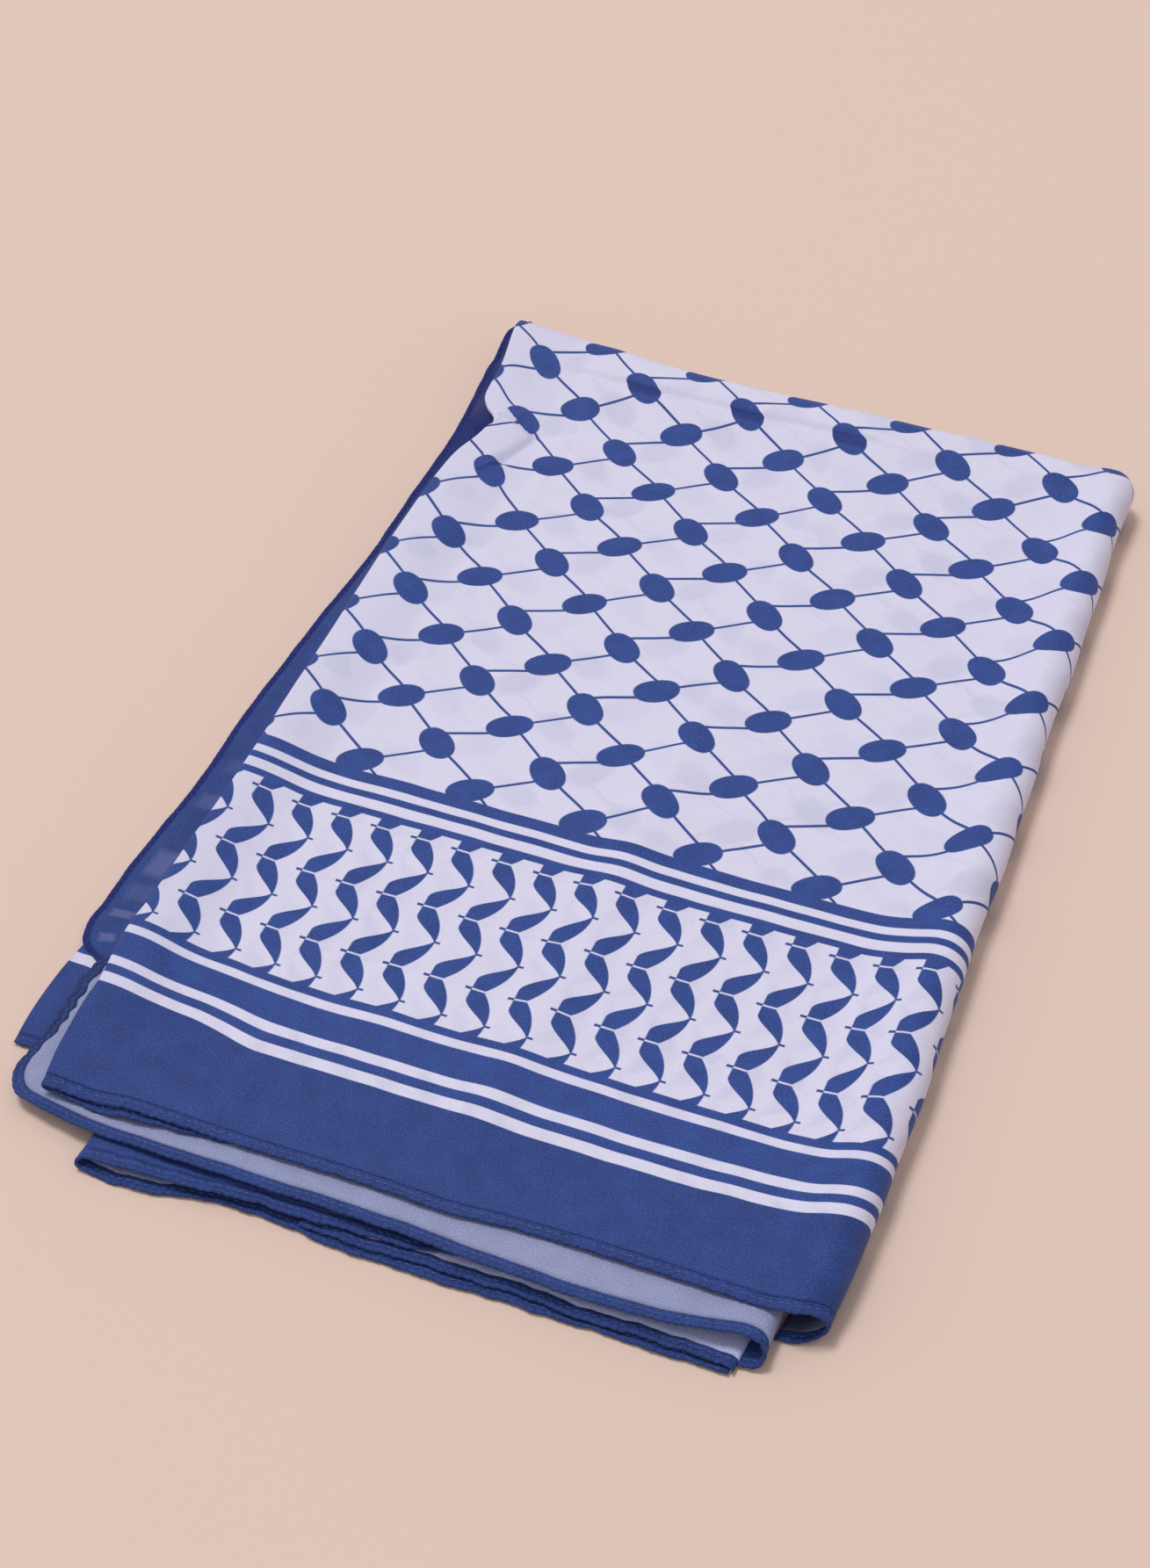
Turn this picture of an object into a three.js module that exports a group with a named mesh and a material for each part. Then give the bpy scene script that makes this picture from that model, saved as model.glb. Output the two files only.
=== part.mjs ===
// A square printed headscarf of crepe chiffon, folded flat into a packet and laid on a table.
// Millimetres, +Z up. X runs along the packet's short side, Y from the hemmed end (front, -Y)
// to the rolled far fold (+Y). The origin is on the table under the middle of the packet's box.
//
// Only the stretches of the cloth that show are walls of their own. The plies folded away
// inside share one rounded solid, which the visible plies lie on.
import * as THREE from "three";

// ---- driving sizes ---------------------------------------------------------------------------
const PLY = 1.2;              // thickness of one ply, loft and all
const GAP = 0.3;              // clearance between neighbouring pieces
const HEM_WIDTH = 6;          // width of the rolled hem
const HEM_THICK = 2.2;        // thickness of the rolled hem
const MIDDLE_HEIGHT = 13;     // height of the top ply over the middle of the packet
const RIGHT_RISE = 8.5;       // how far the top ply rises to the crest of the right-hand roll
const RIGHT_REACH = 13;       // how far that rise spreads inwards
const LEFT_RISE = 3.5;        // rise towards the left-hand fold
const LEFT_REACH = 24;
const FAR_RISE = 8;           // rise towards the far fold
const FAR_REACH = 24;
const ROLL = 11;              // radius of the right-hand roll
const FAR_ROLL = 10;          // how far the far fold rolls past its crest
const FOLD_LIP = 1.5;         // radius of the crisp left-hand fold
const FLOOR_PLY = PLY / 2;    // height of the middle of a ply that lies on the table
const FLOOR_HEM = HEM_THICK / 2;  // and of a hem that does

const LEFT = -150;            // about where the left fold runs, and the right-hand crest
const RIGHT = 152;

// Top panel, from the hem to the far fold: where its left fold and its right roll reach.
const SIDES = [
  { y: -243, left: -144, right: 173 },
  { y: -224, left: -148.5, right: 173 },
  { y: -150, left: -149.5, right: 172 },
  { y: -60, left: -149.5, right: 168.5 },
  { y: 20, left: -151, right: 164.5 },
  { y: 90, left: -152.5, right: 161 },
  { y: 160, left: -152.5, right: 157 },
  { y: 174, left: -148, right: 156.5 },
  { y: 187, left: -143.5, right: 156 },
  { y: 204, left: -150.5, right: 155 },
  { y: 228, left: -156, right: 154 },
  { y: 262, left: -161, right: 152.5 },
];

// Across the packet: the front hem of the top panel and the crest of the far fold.
const ENDS = [
  { x: -162, hem: -243.5, far: 254 },
  { x: -105, hem: -241.5, far: 250 },
  { x: -50, hem: -240.5, far: 246 },
  { x: 50, hem: -237.5, far: 246 },
  { x: 105, hem: -236.5, far: 245 },
  { x: 174, hem: -238, far: 238 },
];

// Second panel, wrong side up. Its finished edge runs down the left side, round the corner and
// along the front; back is where the wall ends under the top panel.
const SECOND = [
  { x: -153.5, y: -175, z: 10.6, xBack: -140, yBack: -173, zBack: 11 },
  { x: -156.5, y: -184, z: 10.2, xBack: -137, yBack: -184, zBack: 11 },
  { x: -157, y: -195, z: 9.8, xBack: -135, yBack: -194, zBack: 10.8 },
  { x: -156.8, y: -207, z: 9.1, xBack: -133, yBack: -200, zBack: 10.5 },
  { x: -157.8, y: -218, z: 8.1, xBack: -131, yBack: -204, zBack: 10.2 },
  { x: -159.8, y: -228, z: 7, xBack: -129.5, yBack: -206.5, zBack: 10 },
  { x: -160, y: -237, z: 6.1, xBack: -128, yBack: -208, zBack: 9.9 },
  { x: -154.5, y: -245, z: 6.1, xBack: -126, yBack: -209, zBack: 9.9 },
  { x: -142, y: -248.5, z: 6.7, xBack: -123, yBack: -209.5, zBack: 9.8 },
  { x: -120, y: -251.5, z: 7.4, xBack: -114, yBack: -209, zBack: 9.2 },
  { x: -80, y: -252, z: 7.6, xBack: -80, yBack: -206, zBack: 8.8 },
  { x: -40, y: -252, z: 7.8, xBack: -40, yBack: -205, zBack: 9.2 },
  { x: 10, y: -252.5, z: 8.2, xBack: 10, yBack: -205, zBack: 9.7 },
  { x: 35, y: -253.8, z: 8.4, xBack: 35, yBack: -205, zBack: 9.7 },
  { x: 65, y: -254.8, z: 8.5, xBack: 65, yBack: -205, zBack: 9.7 },
  { x: 100, y: -255, z: 9, xBack: 100, yBack: -205, zBack: 9.8 },
  { x: 120, y: -253.8, z: 9.8, xBack: 120, yBack: -205, zBack: 10 },
  { x: 136, y: -251.8, z: 10.6, xBack: 136.5, yBack: -205, zBack: 10.6 },
];
// Its own right-hand roll: out is how far it bulges, front its front edge, lean how far its
// underside comes forward of that, lift its clearance over the table.
const SECOND_ROLL = { x: 149, radius: 4.8, out: 5.4, front: -250.5, back: -205, lean: 6, lift: 0.2 };

// Side panel, right side up: the margin of an inner ply that reaches out past the left fold.
const SIDE = [
  { x: -171, y: 246, xBack: -140, yBack: 246 },
  { x: -168, y: 200, xBack: -132, yBack: 200 },
  { x: -166, y: 150, xBack: -132, yBack: 150 },
  { x: -165.5, y: 100, xBack: -132, yBack: 100 },
  { x: -168.5, y: 40, xBack: -132, yBack: 40 },
  { x: -171, y: -15, xBack: -132, yBack: -15 },
  { x: -170.5, y: -60, xBack: -132, yBack: -60 },
  { x: -173, y: -105, xBack: -132, yBack: -105 },
  { x: -174, y: -140, xBack: -132, yBack: -138 },
  { x: -173.5, y: -158, xBack: -132, yBack: -150 },
  { x: -170.5, y: -166, xBack: -135, yBack: -156 },
  { x: -163, y: -171, xBack: -140, yBack: -160 },
  { x: -155, y: -175, xBack: -146, yBack: -161 },
];
const SIDE_CORNER = -150;     // in front of this the side panel turns the corner
const SIDE_LOOSE = 1.1;       // how far the side panel stands off what it lies on
const SIDE_SPREAD = 1.6;      // how much further out than the core's its foot is
const CORNER_LIFT = { height: 1.6, from: -142, to: -158 };  // and how its corner lifts off the table

// Third panel, wrong side up, which shows at the right of the front.
const THIRD = [
  { x: 22, y: -257.5, z: 4.2 },
  { x: 60, y: -259, z: 4.2 },
  { x: 95, y: -260.5, z: 4.2 },
  { x: 120, y: -259.2, z: 4.2 },
  { x: 145, y: -259.8, z: 4.1 },
];

// Lowest panel: a turned-back upper leg, a loop at its left and the leg that lies on the table.
const LOWEST_LOOP = { x: -114, radius: 2.3 };
const UPPER_LEG = [
  { x: -20, y: -257 },
  { x: -57, y: -258.5 },
  { x: -88, y: -262 },
  { x: -113, y: -263.5 },
];
const LOWER_LEG = [
  { x: -113, y: -266.5 },
  { x: -88, y: -266 },
  { x: -57, y: -260.5 },
  { x: -8, y: -263 },
  { x: 76, y: -262 },
  { x: 144, y: -261.5 },
];

// Left flap, right side up, on the table under the side panel: its folded left edge.
const FLAP = [
  { y: -221, left: -170.5, right: -153 },
  { y: -205, left: -172, right: -153 },
  { y: -190, left: -172, right: -153 },
  { y: -180, left: -171.5, right: -160.5 },
  { y: -160, left: -169, right: -160.5 },
];

// Tucked panel: the top ply's turn-under behind its left fold. inset is where it starts, below
// and belowHem how far it lies under the top ply, reach how far its hem passes the top one.
const TUCK = { inset: 4.8, right: -60, back: -150, below: 2.1, belowHem: 3, reach: 2.5 };

// Core of hidden plies: how far its left slope reaches out, and where its right side is.
const CORE = [
  { y: -222, slope: 7, right: 141 },
  { y: -196, slope: 7.5, right: 141 },
  { y: -186, slope: 9, right: 156 },
  { y: -176, slope: 15, right: 157 },
  { y: -150, slope: 15.5, right: 156.5 },
  { y: -60, slope: 15, right: 153 },
  { y: 20, slope: 14.5, right: 149 },
  { y: 160, slope: 14, right: 141.5 },
  { y: 264, slope: 12, right: 137 },
];

const SLOPE_CURVE = 1.15;     // 1 is a straight slope, more a rounded one
// How much lower the core stays under the tucked panel, the side panel, the right-hand roll and
// the second panel, beyond half a ply and the clearance.
const CORE_ROOM = { all: 0.2, tucked: 2.1, side: 2.8, roll: 0.6, second: 0.3 };
const CORE_FAR_ROLL = FAR_ROLL - 1.8;
const CORE_DIP = 0.8;         // how much lower it sinks as it rolls over the far fold
const CORE_FOOT = 0.4;        // height of the foot of its left slope
const TREAD_REACH = 4;        // how far its treads stand out at its right end
const TREAD_ROOM = 6;         // room kept for them, in which its last columns are packed
const CLOSE_COLUMNS = 0.4;    // this far apart
const UNDERCUT = 3.2;         // how far its underside reaches under them
// Right end of the core, ply by ply: how far each edge stands out and its share of the height.
const TREADS = [[0, 1], [2.6, 0.97], [3.4, 0.8], [2.7, 0.76], [3.7, 0.55], [2.9, 0.51], [4, 0.3],
  [3.2, 0.25]];

// Lines across the packet, as shares of its length, and columns as shares of its width.
const LINES = [0.04, 0.058, 0.076, 0.094, 0.112, 0.13, 0.15, 0.17, 0.2, 0.25, 0.33, 0.44, 0.55,
  0.65, 0.73, 0.79, 0.82, 0.845, 0.87, 0.89, 0.91, 0.935, 0.96, 0.98, 1];
const COLUMNS = [0.02, 0.06, 0.12, 0.2, 0.32, 0.44, 0.56, 0.68, 0.78, 0.86, 0.91, 0.95, 0.98];
const PAST_FAR = [20, 40, 58, 72];   // angles past the crest of the far fold, for the top ply
const CORE_PAST_FAR = [25, 48, 64];  // and for the core

// ---- small helpers ---------------------------------------------------------------------------
const v3 = (x, y, z) => new THREE.Vector3(x, y, z);
const lerp = THREE.MathUtils.lerp;
const clamp = THREE.MathUtils.clamp;
const smooth = THREE.MathUtils.smoothstep;
const toRadians = THREE.MathUtils.degToRad;

/** Reads one named column of a table at a value of its key column, straight between rows. */
function read(table, key, at, column) {
  const last = table.length - 1;
  if (at <= table[0][key]) return table[0][column];
  if (at >= table[last][key]) return table[last][column];
  const i = table.findIndex((row) => row[key] > at) - 1;
  const from = table[i];
  const to = table[i + 1];
  const t = (at - from[key]) / (to[key] - from[key]);
  return lerp(from[column], to[column], t);
}

/** The numbers from first to last in equal steps. */
function steps(first, last, count) {
  return Array.from({ length: count + 1 }, (_, i) => lerp(first, last, i / count));
}

/** A closed body between two grids of points that face each other, the first one outside. */
function closedGrid(outside, inside) {
  const rows = outside.length;
  const columns = outside[0].length;
  const positions = [...outside.flat(), ...inside.flat()].flatMap((p) => [p.x, p.y, p.z]);
  const out = (i, j) => i * columns + j;
  const inn = (i, j) => rows * columns + i * columns + j;
  const index = [];
  const quad = (a, b, c, d) => index.push(a, b, c, a, c, d);
  for (let i = 0; i < rows - 1; i++) {
    for (let j = 0; j < columns - 1; j++) {
      quad(out(i, j), out(i, j + 1), out(i + 1, j + 1), out(i + 1, j));
      quad(inn(i, j), inn(i + 1, j), inn(i + 1, j + 1), inn(i, j + 1));
    }
  }
  for (let i = 0; i < rows - 1; i++) {
    quad(out(i, 0), out(i + 1, 0), inn(i + 1, 0), inn(i, 0));
    quad(out(i, columns - 1), inn(i, columns - 1), inn(i + 1, columns - 1), out(i + 1, columns - 1));
  }
  for (let j = 0; j < columns - 1; j++) {
    quad(out(0, j), inn(0, j), inn(0, j + 1), out(0, j + 1));
    quad(out(rows - 1, j), out(rows - 1, j + 1), inn(rows - 1, j + 1), inn(rows - 1, j));
  }
  const geometry = new THREE.BufferGeometry();
  geometry.setAttribute("position", new THREE.Float32BufferAttribute(positions, 3));
  geometry.setIndex(index);
  return geometry;
}

/** A wall of even thickness about a grid of middle points; columns run along +X on top. */
function wall(grid, thickness = PLY) {
  const side = (sign) => grid.map((row, i) => row.map((point, j) => {
    const along = row[Math.min(j + 1, row.length - 1)].clone().sub(row[Math.max(j - 1, 0)]);
    const before = grid[Math.max(i - 1, 0)][j];
    const across = grid[Math.min(i + 1, grid.length - 1)][j].clone().sub(before);
    const normal = along.cross(across).normalize();
    return point.clone().addScaledVector(normal, sign * thickness / 2);
  }));
  return closedGrid(side(1), side(-1));
}

/** A rolled hem between the line where the panel stops and the line of its finished edge. */
function hem(inner, outer) {
  const section = [[0, 0], [0.25, 0.5], [0.75, 0.5], [1, 0], [0.75, -0.5], [0.25, -0.5]];
  const sides = section.length;
  const rings = inner.map((from, j) => {
    const to = outer[j];
    const next = Math.min(j + 1, inner.length - 1);
    const along = inner[next].clone().add(outer[next]);
    along.sub(inner[Math.max(j - 1, 0)]).sub(outer[Math.max(j - 1, 0)]);
    const normal = along.cross(from.clone().sub(to)).normalize();
    return section.map(([w, h]) => from.clone().lerp(to, w).addScaledVector(normal, h * HEM_THICK));
  });
  const positions = rings.flat().flatMap((p) => [p.x, p.y, p.z]);
  const index = [];
  for (let i = 0; i < rings.length - 1; i++) {
    for (let k = 0; k < sides; k++) {
      const a = i * sides + k;
      const b = i * sides + (k + 1) % sides;
      index.push(a, b, b + sides, a, b + sides, a + sides);
    }
  }
  const end = (rings.length - 1) * sides;
  for (let k = 1; k < sides - 1; k++) {
    index.push(0, k + 1, k, end, end + k, end + k + 1);
  }
  const geometry = new THREE.BufferGeometry();
  geometry.setAttribute("position", new THREE.Float32BufferAttribute(positions, 3));
  geometry.setIndex(index);
  return geometry;
}

// ---- the shape of the packet's top -----------------------------------------------------------
const bump = (distance, reach) => Math.exp(-((distance / reach) ** 2));

/** Height of the middle of the top ply: low in the middle, higher towards the folds. */
function topHeight(x, y) {
  const fromRight = Math.max(read(SIDES, "y", y, "right") - ROLL - x, 0);
  const fromLeft = Math.max(x - read(SIDES, "y", y, "left"), 0);
  const fromFar = Math.max(read(ENDS, "x", x, "far") - y, 0);
  const rises = [RIGHT_RISE * bump(fromRight, RIGHT_REACH), LEFT_RISE * bump(fromLeft, LEFT_REACH),
    FAR_RISE * bump(fromFar, FAR_REACH)];
  return MIDDLE_HEIGHT + Math.hypot(...rises);
}

/** Where a line across the packet is at x, from share 0 at the front hem to 1 at the far crest. */
const lengthwise = (x, share) => lerp(read(ENDS, "x", x, "hem"), read(ENDS, "x", x, "far"), share);

const PACKET_LENGTH = ENDS[3].far - ENDS[3].hem;
const TOP_HEM = HEM_WIDTH / PACKET_LENGTH;
const TOP_SEAM = (HEM_WIDTH + GAP) / PACKET_LENGTH;

/** How the far fold carries a section past its crest: how far out, and how much of its height. */
function farRoll(degrees, radius) {
  const angle = toRadians(degrees);
  return { past: radius * Math.sin(angle), height: Math.cos(angle) ** 0.9 };
}

/** The columns of the top ply at one line: x of its left fold, its inner columns and its crest. */
function columnsAt(share) {
  const left = read(SIDES, "y", lengthwise(LEFT, share), "left");
  const crest = read(SIDES, "y", lengthwise(RIGHT, share), "right") - ROLL;
  return { left, crest, inner: COLUMNS.map((column) => lerp(left, crest, column)) };
}

/** One section of the top panel: left lip, top, right roll and a short stretch underneath. */
function topSection(share, overFar = 0) {
  const { past, height } = farRoll(overFar, FAR_ROLL);
  const { left, crest, inner } = columnsAt(share);
  const lifted = smooth(share, TOP_HEM, LINES[0]);
  const floor = lerp(FLOOR_HEM, FLOOR_PLY, lifted);
  const top = (x) => FLOOR_PLY + (topHeight(x, lengthwise(x, share)) - FLOOR_PLY) * height;
  const points = [];
  for (const angle of [180, 140, 100, 60]) {
    const a = toRadians(angle);
    const x = left + FOLD_LIP - FOLD_LIP * Math.sin(a);
    points.push(v3(x, lengthwise(x, share) + past, top(left) - FOLD_LIP * (1 - Math.cos(a))));
  }
  for (const x of inner) points.push(v3(x, lengthwise(x, share) + past, top(x)));
  const radius = (top(crest) - floor) / 2;
  for (const angle of [0, 25, 50, 75, 100, 125, 150, 180]) {
    const a = toRadians(angle);
    const x = crest + (ROLL - FLOOR_PLY) * Math.sin(a);
    points.push(v3(x, lengthwise(crest, share) + past, floor + radius * (1 + Math.cos(a))));
  }
  points.push(v3(crest - 4, lengthwise(crest, share) + past, floor));
  return points;
}

/** Top panel: the ply that shows, from its front hem over the far fold and round the right one. */
function topPanel() {
  const lines = [TOP_SEAM, ...LINES].map((share) => topSection(share));
  return wall([...lines, ...PAST_FAR.map((angle) => topSection(1, angle))]);
}

// ---- plies that show at the edges ------------------------------------------------------------
/**
 * The panel and the hem of one ply. edge is its finished edge and back the line where it stops
 * inside the packet, both in points that pair up; settle may lay a point on what is below it.
 */
function ply(edge, back, settle = (p) => p, count = 3) {
  const inward = (j, distance) => {
    const length = edge[j].distanceTo(back[j]);
    return settle(edge[j].clone().lerp(back[j], distance / length));
  };
  const rows = steps(0, 1, count).map((share) => edge.map((point, j) => {
    return inward(j, lerp(HEM_WIDTH + GAP, point.distanceTo(back[j]), share));
  }));
  return {
    panel: wall(rows),
    hem: hem(edge.map((_, j) => inward(j, HEM_WIDTH)), edge.map((_, j) => inward(j, 0))),
  };
}

/** Second panel, with its side and front hem and its own small roll inside the right fold. */
function secondPly() {
  const edge = SECOND.map((row) => v3(row.x, row.y, row.z));
  const back = SECOND.map((row) => v3(row.xBack, row.yBack, row.zBack));
  const { x, radius, out, lean, lift } = SECOND_ROLL;
  const high = edge[edge.length - 1].z;
  const middle = FLOOR_HEM + lift + radius;
  for (const angle of [0, 30, 60, 90, 120, 150, 180]) {
    const a = toRadians(angle);
    const top = lerp(high, middle + radius, Math.min(angle / 60, 1));
    const z = angle < 90 ? lerp(middle, top + lift, Math.cos(a)) : middle + radius * Math.cos(a);
    const forward = SECOND_ROLL.front - lean * (1 - Math.cos(a)) / 2;
    edge.push(v3(x + out * Math.sin(a), forward, z));
    back.push(v3(x + out * Math.sin(a), SECOND_ROLL.back, z));
  }
  return ply(edge, back);
}

/** Lays a point of the side panel on the core's left shoulder and on the table. */
function onShoulder({ x, y }) {
  const { height, from, to } = CORNER_LIFT;
  const clear = PLY / 2 + GAP + SIDE_LOOSE;
  const floor = FLOOR_HEM + height * smooth(-y, -from, -to);
  const shoulder = shoulderAt(y);
  if (x > shoulder) return v3(x, y, coreTop(x, y) + clear);
  const high = coreTop(shoulder, y) + clear;
  return v3(x, y, floor + (high - floor) * sideDrop(x, y, SIDE_SPREAD));
}

/** Side panel: the margin of an inner ply, with its side hem and the corner that tucks under. */
function sidePly() {
  const corner = SIDE.filter((row) => row.y < SIDE_CORNER);
  const table = SIDE.filter((row) => row.y >= SIDE_CORNER).reverse();
  const lines = LINES.map((share) => lengthwise(LEFT, share)).reverse();
  const along = lines.filter((y) => y > SIDE_CORNER && y < table[table.length - 1].y).map((y) => {
    return { x: read(table, "y", y, "x"), y, xBack: read(table, "y", y, "xBack"), yBack: y };
  });
  const rows = [...along, ...corner];
  const edge = rows.map((row) => v3(row.x, row.y, 0));
  return ply(edge, rows.map((row) => v3(row.xBack, row.yBack, 0)), onShoulder, 7);
}

/** Where the plies in front of the core stop, just short of it. */
const coreFront = (x) => lengthwise(x, LINES[0]) - GAP;

/** Third panel: a ply that shows between the second one and the lowest one. */
function thirdPly() {
  const edge = THIRD.map((row) => v3(row.x, row.y, row.z));
  return ply(edge, THIRD.map((row) => v3(row.x, coreFront(row.x), row.z)));
}

/** Lowest panel: it comes from inside the packet, loops at the left and lies along the table. */
function lowestPly() {
  const { x, radius } = LOWEST_LOOP;
  const low = FLOOR_HEM;
  const high = low + 2 * radius;
  const edge = UPPER_LEG.map((row) => v3(row.x, row.y, high));
  for (const angle of [30, 60, 90, 120, 150]) {
    const a = toRadians(angle);
    const y = lerp(UPPER_LEG[3].y, LOWER_LEG[0].y, angle / 180);
    edge.push(v3(x - 1.4 * radius * Math.sin(a), y, low + radius * (1 + Math.cos(a))));
  }
  edge.push(...LOWER_LEG.map((row) => v3(row.x, row.y, low)));
  edge.reverse();
  const settle = (p) => (p.z > low ? p : v3(p.x, p.y, low));
  return ply(edge, edge.map((p) => v3(p.x, coreFront(p.x), p.z)), settle);
}

/** Left flap: the folded edge of a ply on the table, with its short stretch of hem in front. */
function flapPly() {
  const line = steps(0, 1, 4);
  const [front, ...rest] = FLAP;
  const at = (y, share) => {
    return v3(lerp(read(FLAP, "y", y, "left"), read(FLAP, "y", y, "right"), share), y, FLOOR_PLY);
  };
  const rows = [front.y + HEM_WIDTH + GAP, ...rest.map((row) => row.y)];
  const hemLine = (y) => line.map((share) => at(y, share).setZ(FLOOR_HEM));
  return {
    panel: wall(rows.map((y) => line.map((share) => at(y, share)))),
    hem: hem(hemLine(front.y + HEM_WIDTH), hemLine(front.y)),
  };
}

/** Tucked panel: the turned-under part of the top ply, whose hem shows just below the top hem. */
function tuckPly() {
  const columns = steps(0, 1, 7);
  const front = (x) => read(ENDS, "x", x, "hem");
  const xAt = (y, share) => lerp(read(SIDES, "y", y, "left") + TUCK.inset, TUCK.right, share);
  const pass = (share) => TUCK.reach * Math.sin(Math.PI * Math.min(share * 1.1 + 0.05, 1));
  const edge = columns.map((share) => {
    const x = xAt(front(0), share);
    return v3(x, front(x) - pass(share), topHeight(x, front(x)) - TUCK.belowHem);
  });
  const back = columns.map((share) => {
    const x = xAt(TUCK.back, share);
    return v3(x, TUCK.back, topHeight(x, TUCK.back) - TUCK.below);
  });
  const settle = (p) => {
    const under = smooth(p.y, front(p.x), front(p.x) + 1.5 * HEM_WIDTH);
    return v3(p.x, p.y, topHeight(p.x, p.y) - lerp(TUCK.belowHem, TUCK.below, under));
  };
  return ply(edge, back, settle);
}

// ---- hidden plies ----------------------------------------------------------------------------
const SECOND_DEPTH = 45;      // from the second panel's front edge to where its wall ends
const SECOND_BACKS = SECOND.filter((row) => row.y <= -215)
  .map((row) => ({ x: row.xBack, z: row.zBack }));
const SECOND_FRONTS = SECOND.filter((row) => row.y <= -250.5).map((row) => ({ x: row.x, z: row.z }));

/** Height of the second panel's middle, from where its wall ends to its front edge. */
function secondHeight(x, y) {
  const forward = clamp((SECOND_ROLL.back - y) / SECOND_DEPTH, 0, 1);
  return lerp(read(SECOND_BACKS, "x", x, "z"), read(SECOND_FRONTS, "x", x, "z"), forward);
}

/** The core's left shoulder lies under the first column of the top ply. */
function shoulderAt(y) {
  const left = read(SIDES, "y", y, "left");
  return lerp(left, read(SIDES, "y", y, "right") - ROLL, COLUMNS[0]);
}

/** Top of the core: just below whichever plies lie over it. */
function coreTop(x, y) {
  const crest = read(SIDES, "y", y, "right") - ROLL;
  const room = CORE_ROOM.all + CORE_ROOM.tucked * smooth(-y, 128, 142) * smooth(-x, 40, 54)
    + CORE_ROOM.side * smooth(-x, 112, 124) + CORE_ROOM.roll * smooth(x, crest - 40, crest - 28);
  const free = topHeight(x, y) - PLY / 2 - GAP - room;
  const underSecond = Math.max(smooth(-y, 180, 192), smooth(-y, 158, 168) * smooth(-x, 118, 126));
  const nearCorner = 4 + 0.2 * (x - LEFT);
  const second = secondHeight(x, y) - PLY / 2 - CORE_ROOM.second;
  return Math.min(free, lerp(free, x < 0 ? Math.min(second, nearCorner) : second, underSecond));
}

/** How much of its height the core keeps along its left side, from the shoulder to the foot. */
function sideDrop(x, y, reach = 0) {
  const slope = read(CORE, "y", y, "slope") + reach;
  return 1 - clamp((shoulderAt(y) - x) / slope, 0, 1) ** SLOPE_CURVE;
}

/** One section of the core, past the far fold's crest by an angle: its top and its underside. */
function coreSection(share, overFar) {
  const { past, height } = farRoll(overFar, CORE_FAR_ROLL);
  const { inner } = columnsAt(share);
  const shoulder = inner[0];
  const right = read(CORE, "y", lengthwise(RIGHT, share), "right") - TREAD_REACH;
  const slope = read(CORE, "y", lengthwise(LEFT, share), "slope");
  const top = (x) => coreTop(x, lengthwise(x, share)) * height - CORE_DIP * (1 - height);
  const point = (x, z) => v3(x, lengthwise(x, share) + past, z);
  const side = [1, 0.9, 0.72, 0.48, 0.24].map((s) => {
    return point(shoulder - slope * s, Math.max(top(shoulder) * (1 - s ** SLOPE_CURVE), CORE_FOOT));
  });
  const last = right - TREAD_ROOM;
  const over = inner.map((x, i) => {
    const kept = Math.min(x, last + i * CLOSE_COLUMNS);
    return point(kept, top(kept));
  });
  const treads = TREADS.map(([out, up]) => point(right + out, top(right) * up));
  const under = steps(0, 1, TREADS.length - 1).map((t) => point(right + UNDERCUT * t, 0));
  return {
    upper: [...side, ...over, ...treads],
    lower: [...[...side, ...over].map((p) => v3(p.x, p.y, 0)), ...under],
  };
}

/** The rounded solid of all the plies folded away inside, stepped ply by ply at its right end. */
function core() {
  const sections = [...LINES.map((share) => coreSection(share, 0)),
    ...CORE_PAST_FAR.map((angle) => coreSection(1, angle))];
  return closedGrid(sections.map((row) => row.upper), sections.map((row) => row.lower));
}

// ---- assembly --------------------------------------------------------------------------------
const blue = { color: 0x33509a, roughness: 0.72, metalness: 0 };
const white = { color: 0xd8d4e8, roughness: 0.75, metalness: 0 };
const wrongSide = { color: 0x9aa0c8, roughness: 0.8, metalness: 0 };

const group = new THREE.Group();

/** Adds one named piece with a material of its own. */
function add(name, geometry, finish) {
  const mesh = new THREE.Mesh(geometry, new THREE.MeshStandardMaterial(finish));
  mesh.name = name;
  group.add(mesh);
}

/** Adds a ply's panel and its hem. */
function addPly(name, { panel, hem: edging }, finish) {
  add(`${name}_panel`, panel, finish);
  add(`${name}_hem`, edging, blue);
}

add("top_panel", topPanel(), white);
add("top_hem", hem(topSection(TOP_HEM), topSection(0)), blue);
addPly("tucked", tuckPly(), wrongSide);
addPly("second", secondPly(), wrongSide);
addPly("side", sidePly(), blue);
addPly("third", thirdPly(), wrongSide);
addPly("lowest", lowestPly(), blue);
addPly("flap", flapPly(), blue);
add("hidden_plies", core(), wrongSide);

const middle = new THREE.Box3().setFromObject(group).getCenter(v3(0, 0, 0));
for (const mesh of group.children) mesh.geometry.translate(-middle.x, -middle.y, 0);

export default group;
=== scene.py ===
"""A square keffiyeh-print headscarf of crepe chiffon, folded flat into a packet.

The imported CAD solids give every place. Each ply is rebuilt here as a thin shell on its solid's
form, with its creases, its rolled and stitched hem and the print. Tables and formulas are in
millimetres, in the CAD source's own axes, and become metres when a mesh is made.
"""
import math

import bmesh
import bpy
import numpy as np
from mathutils import Matrix, Vector


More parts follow.
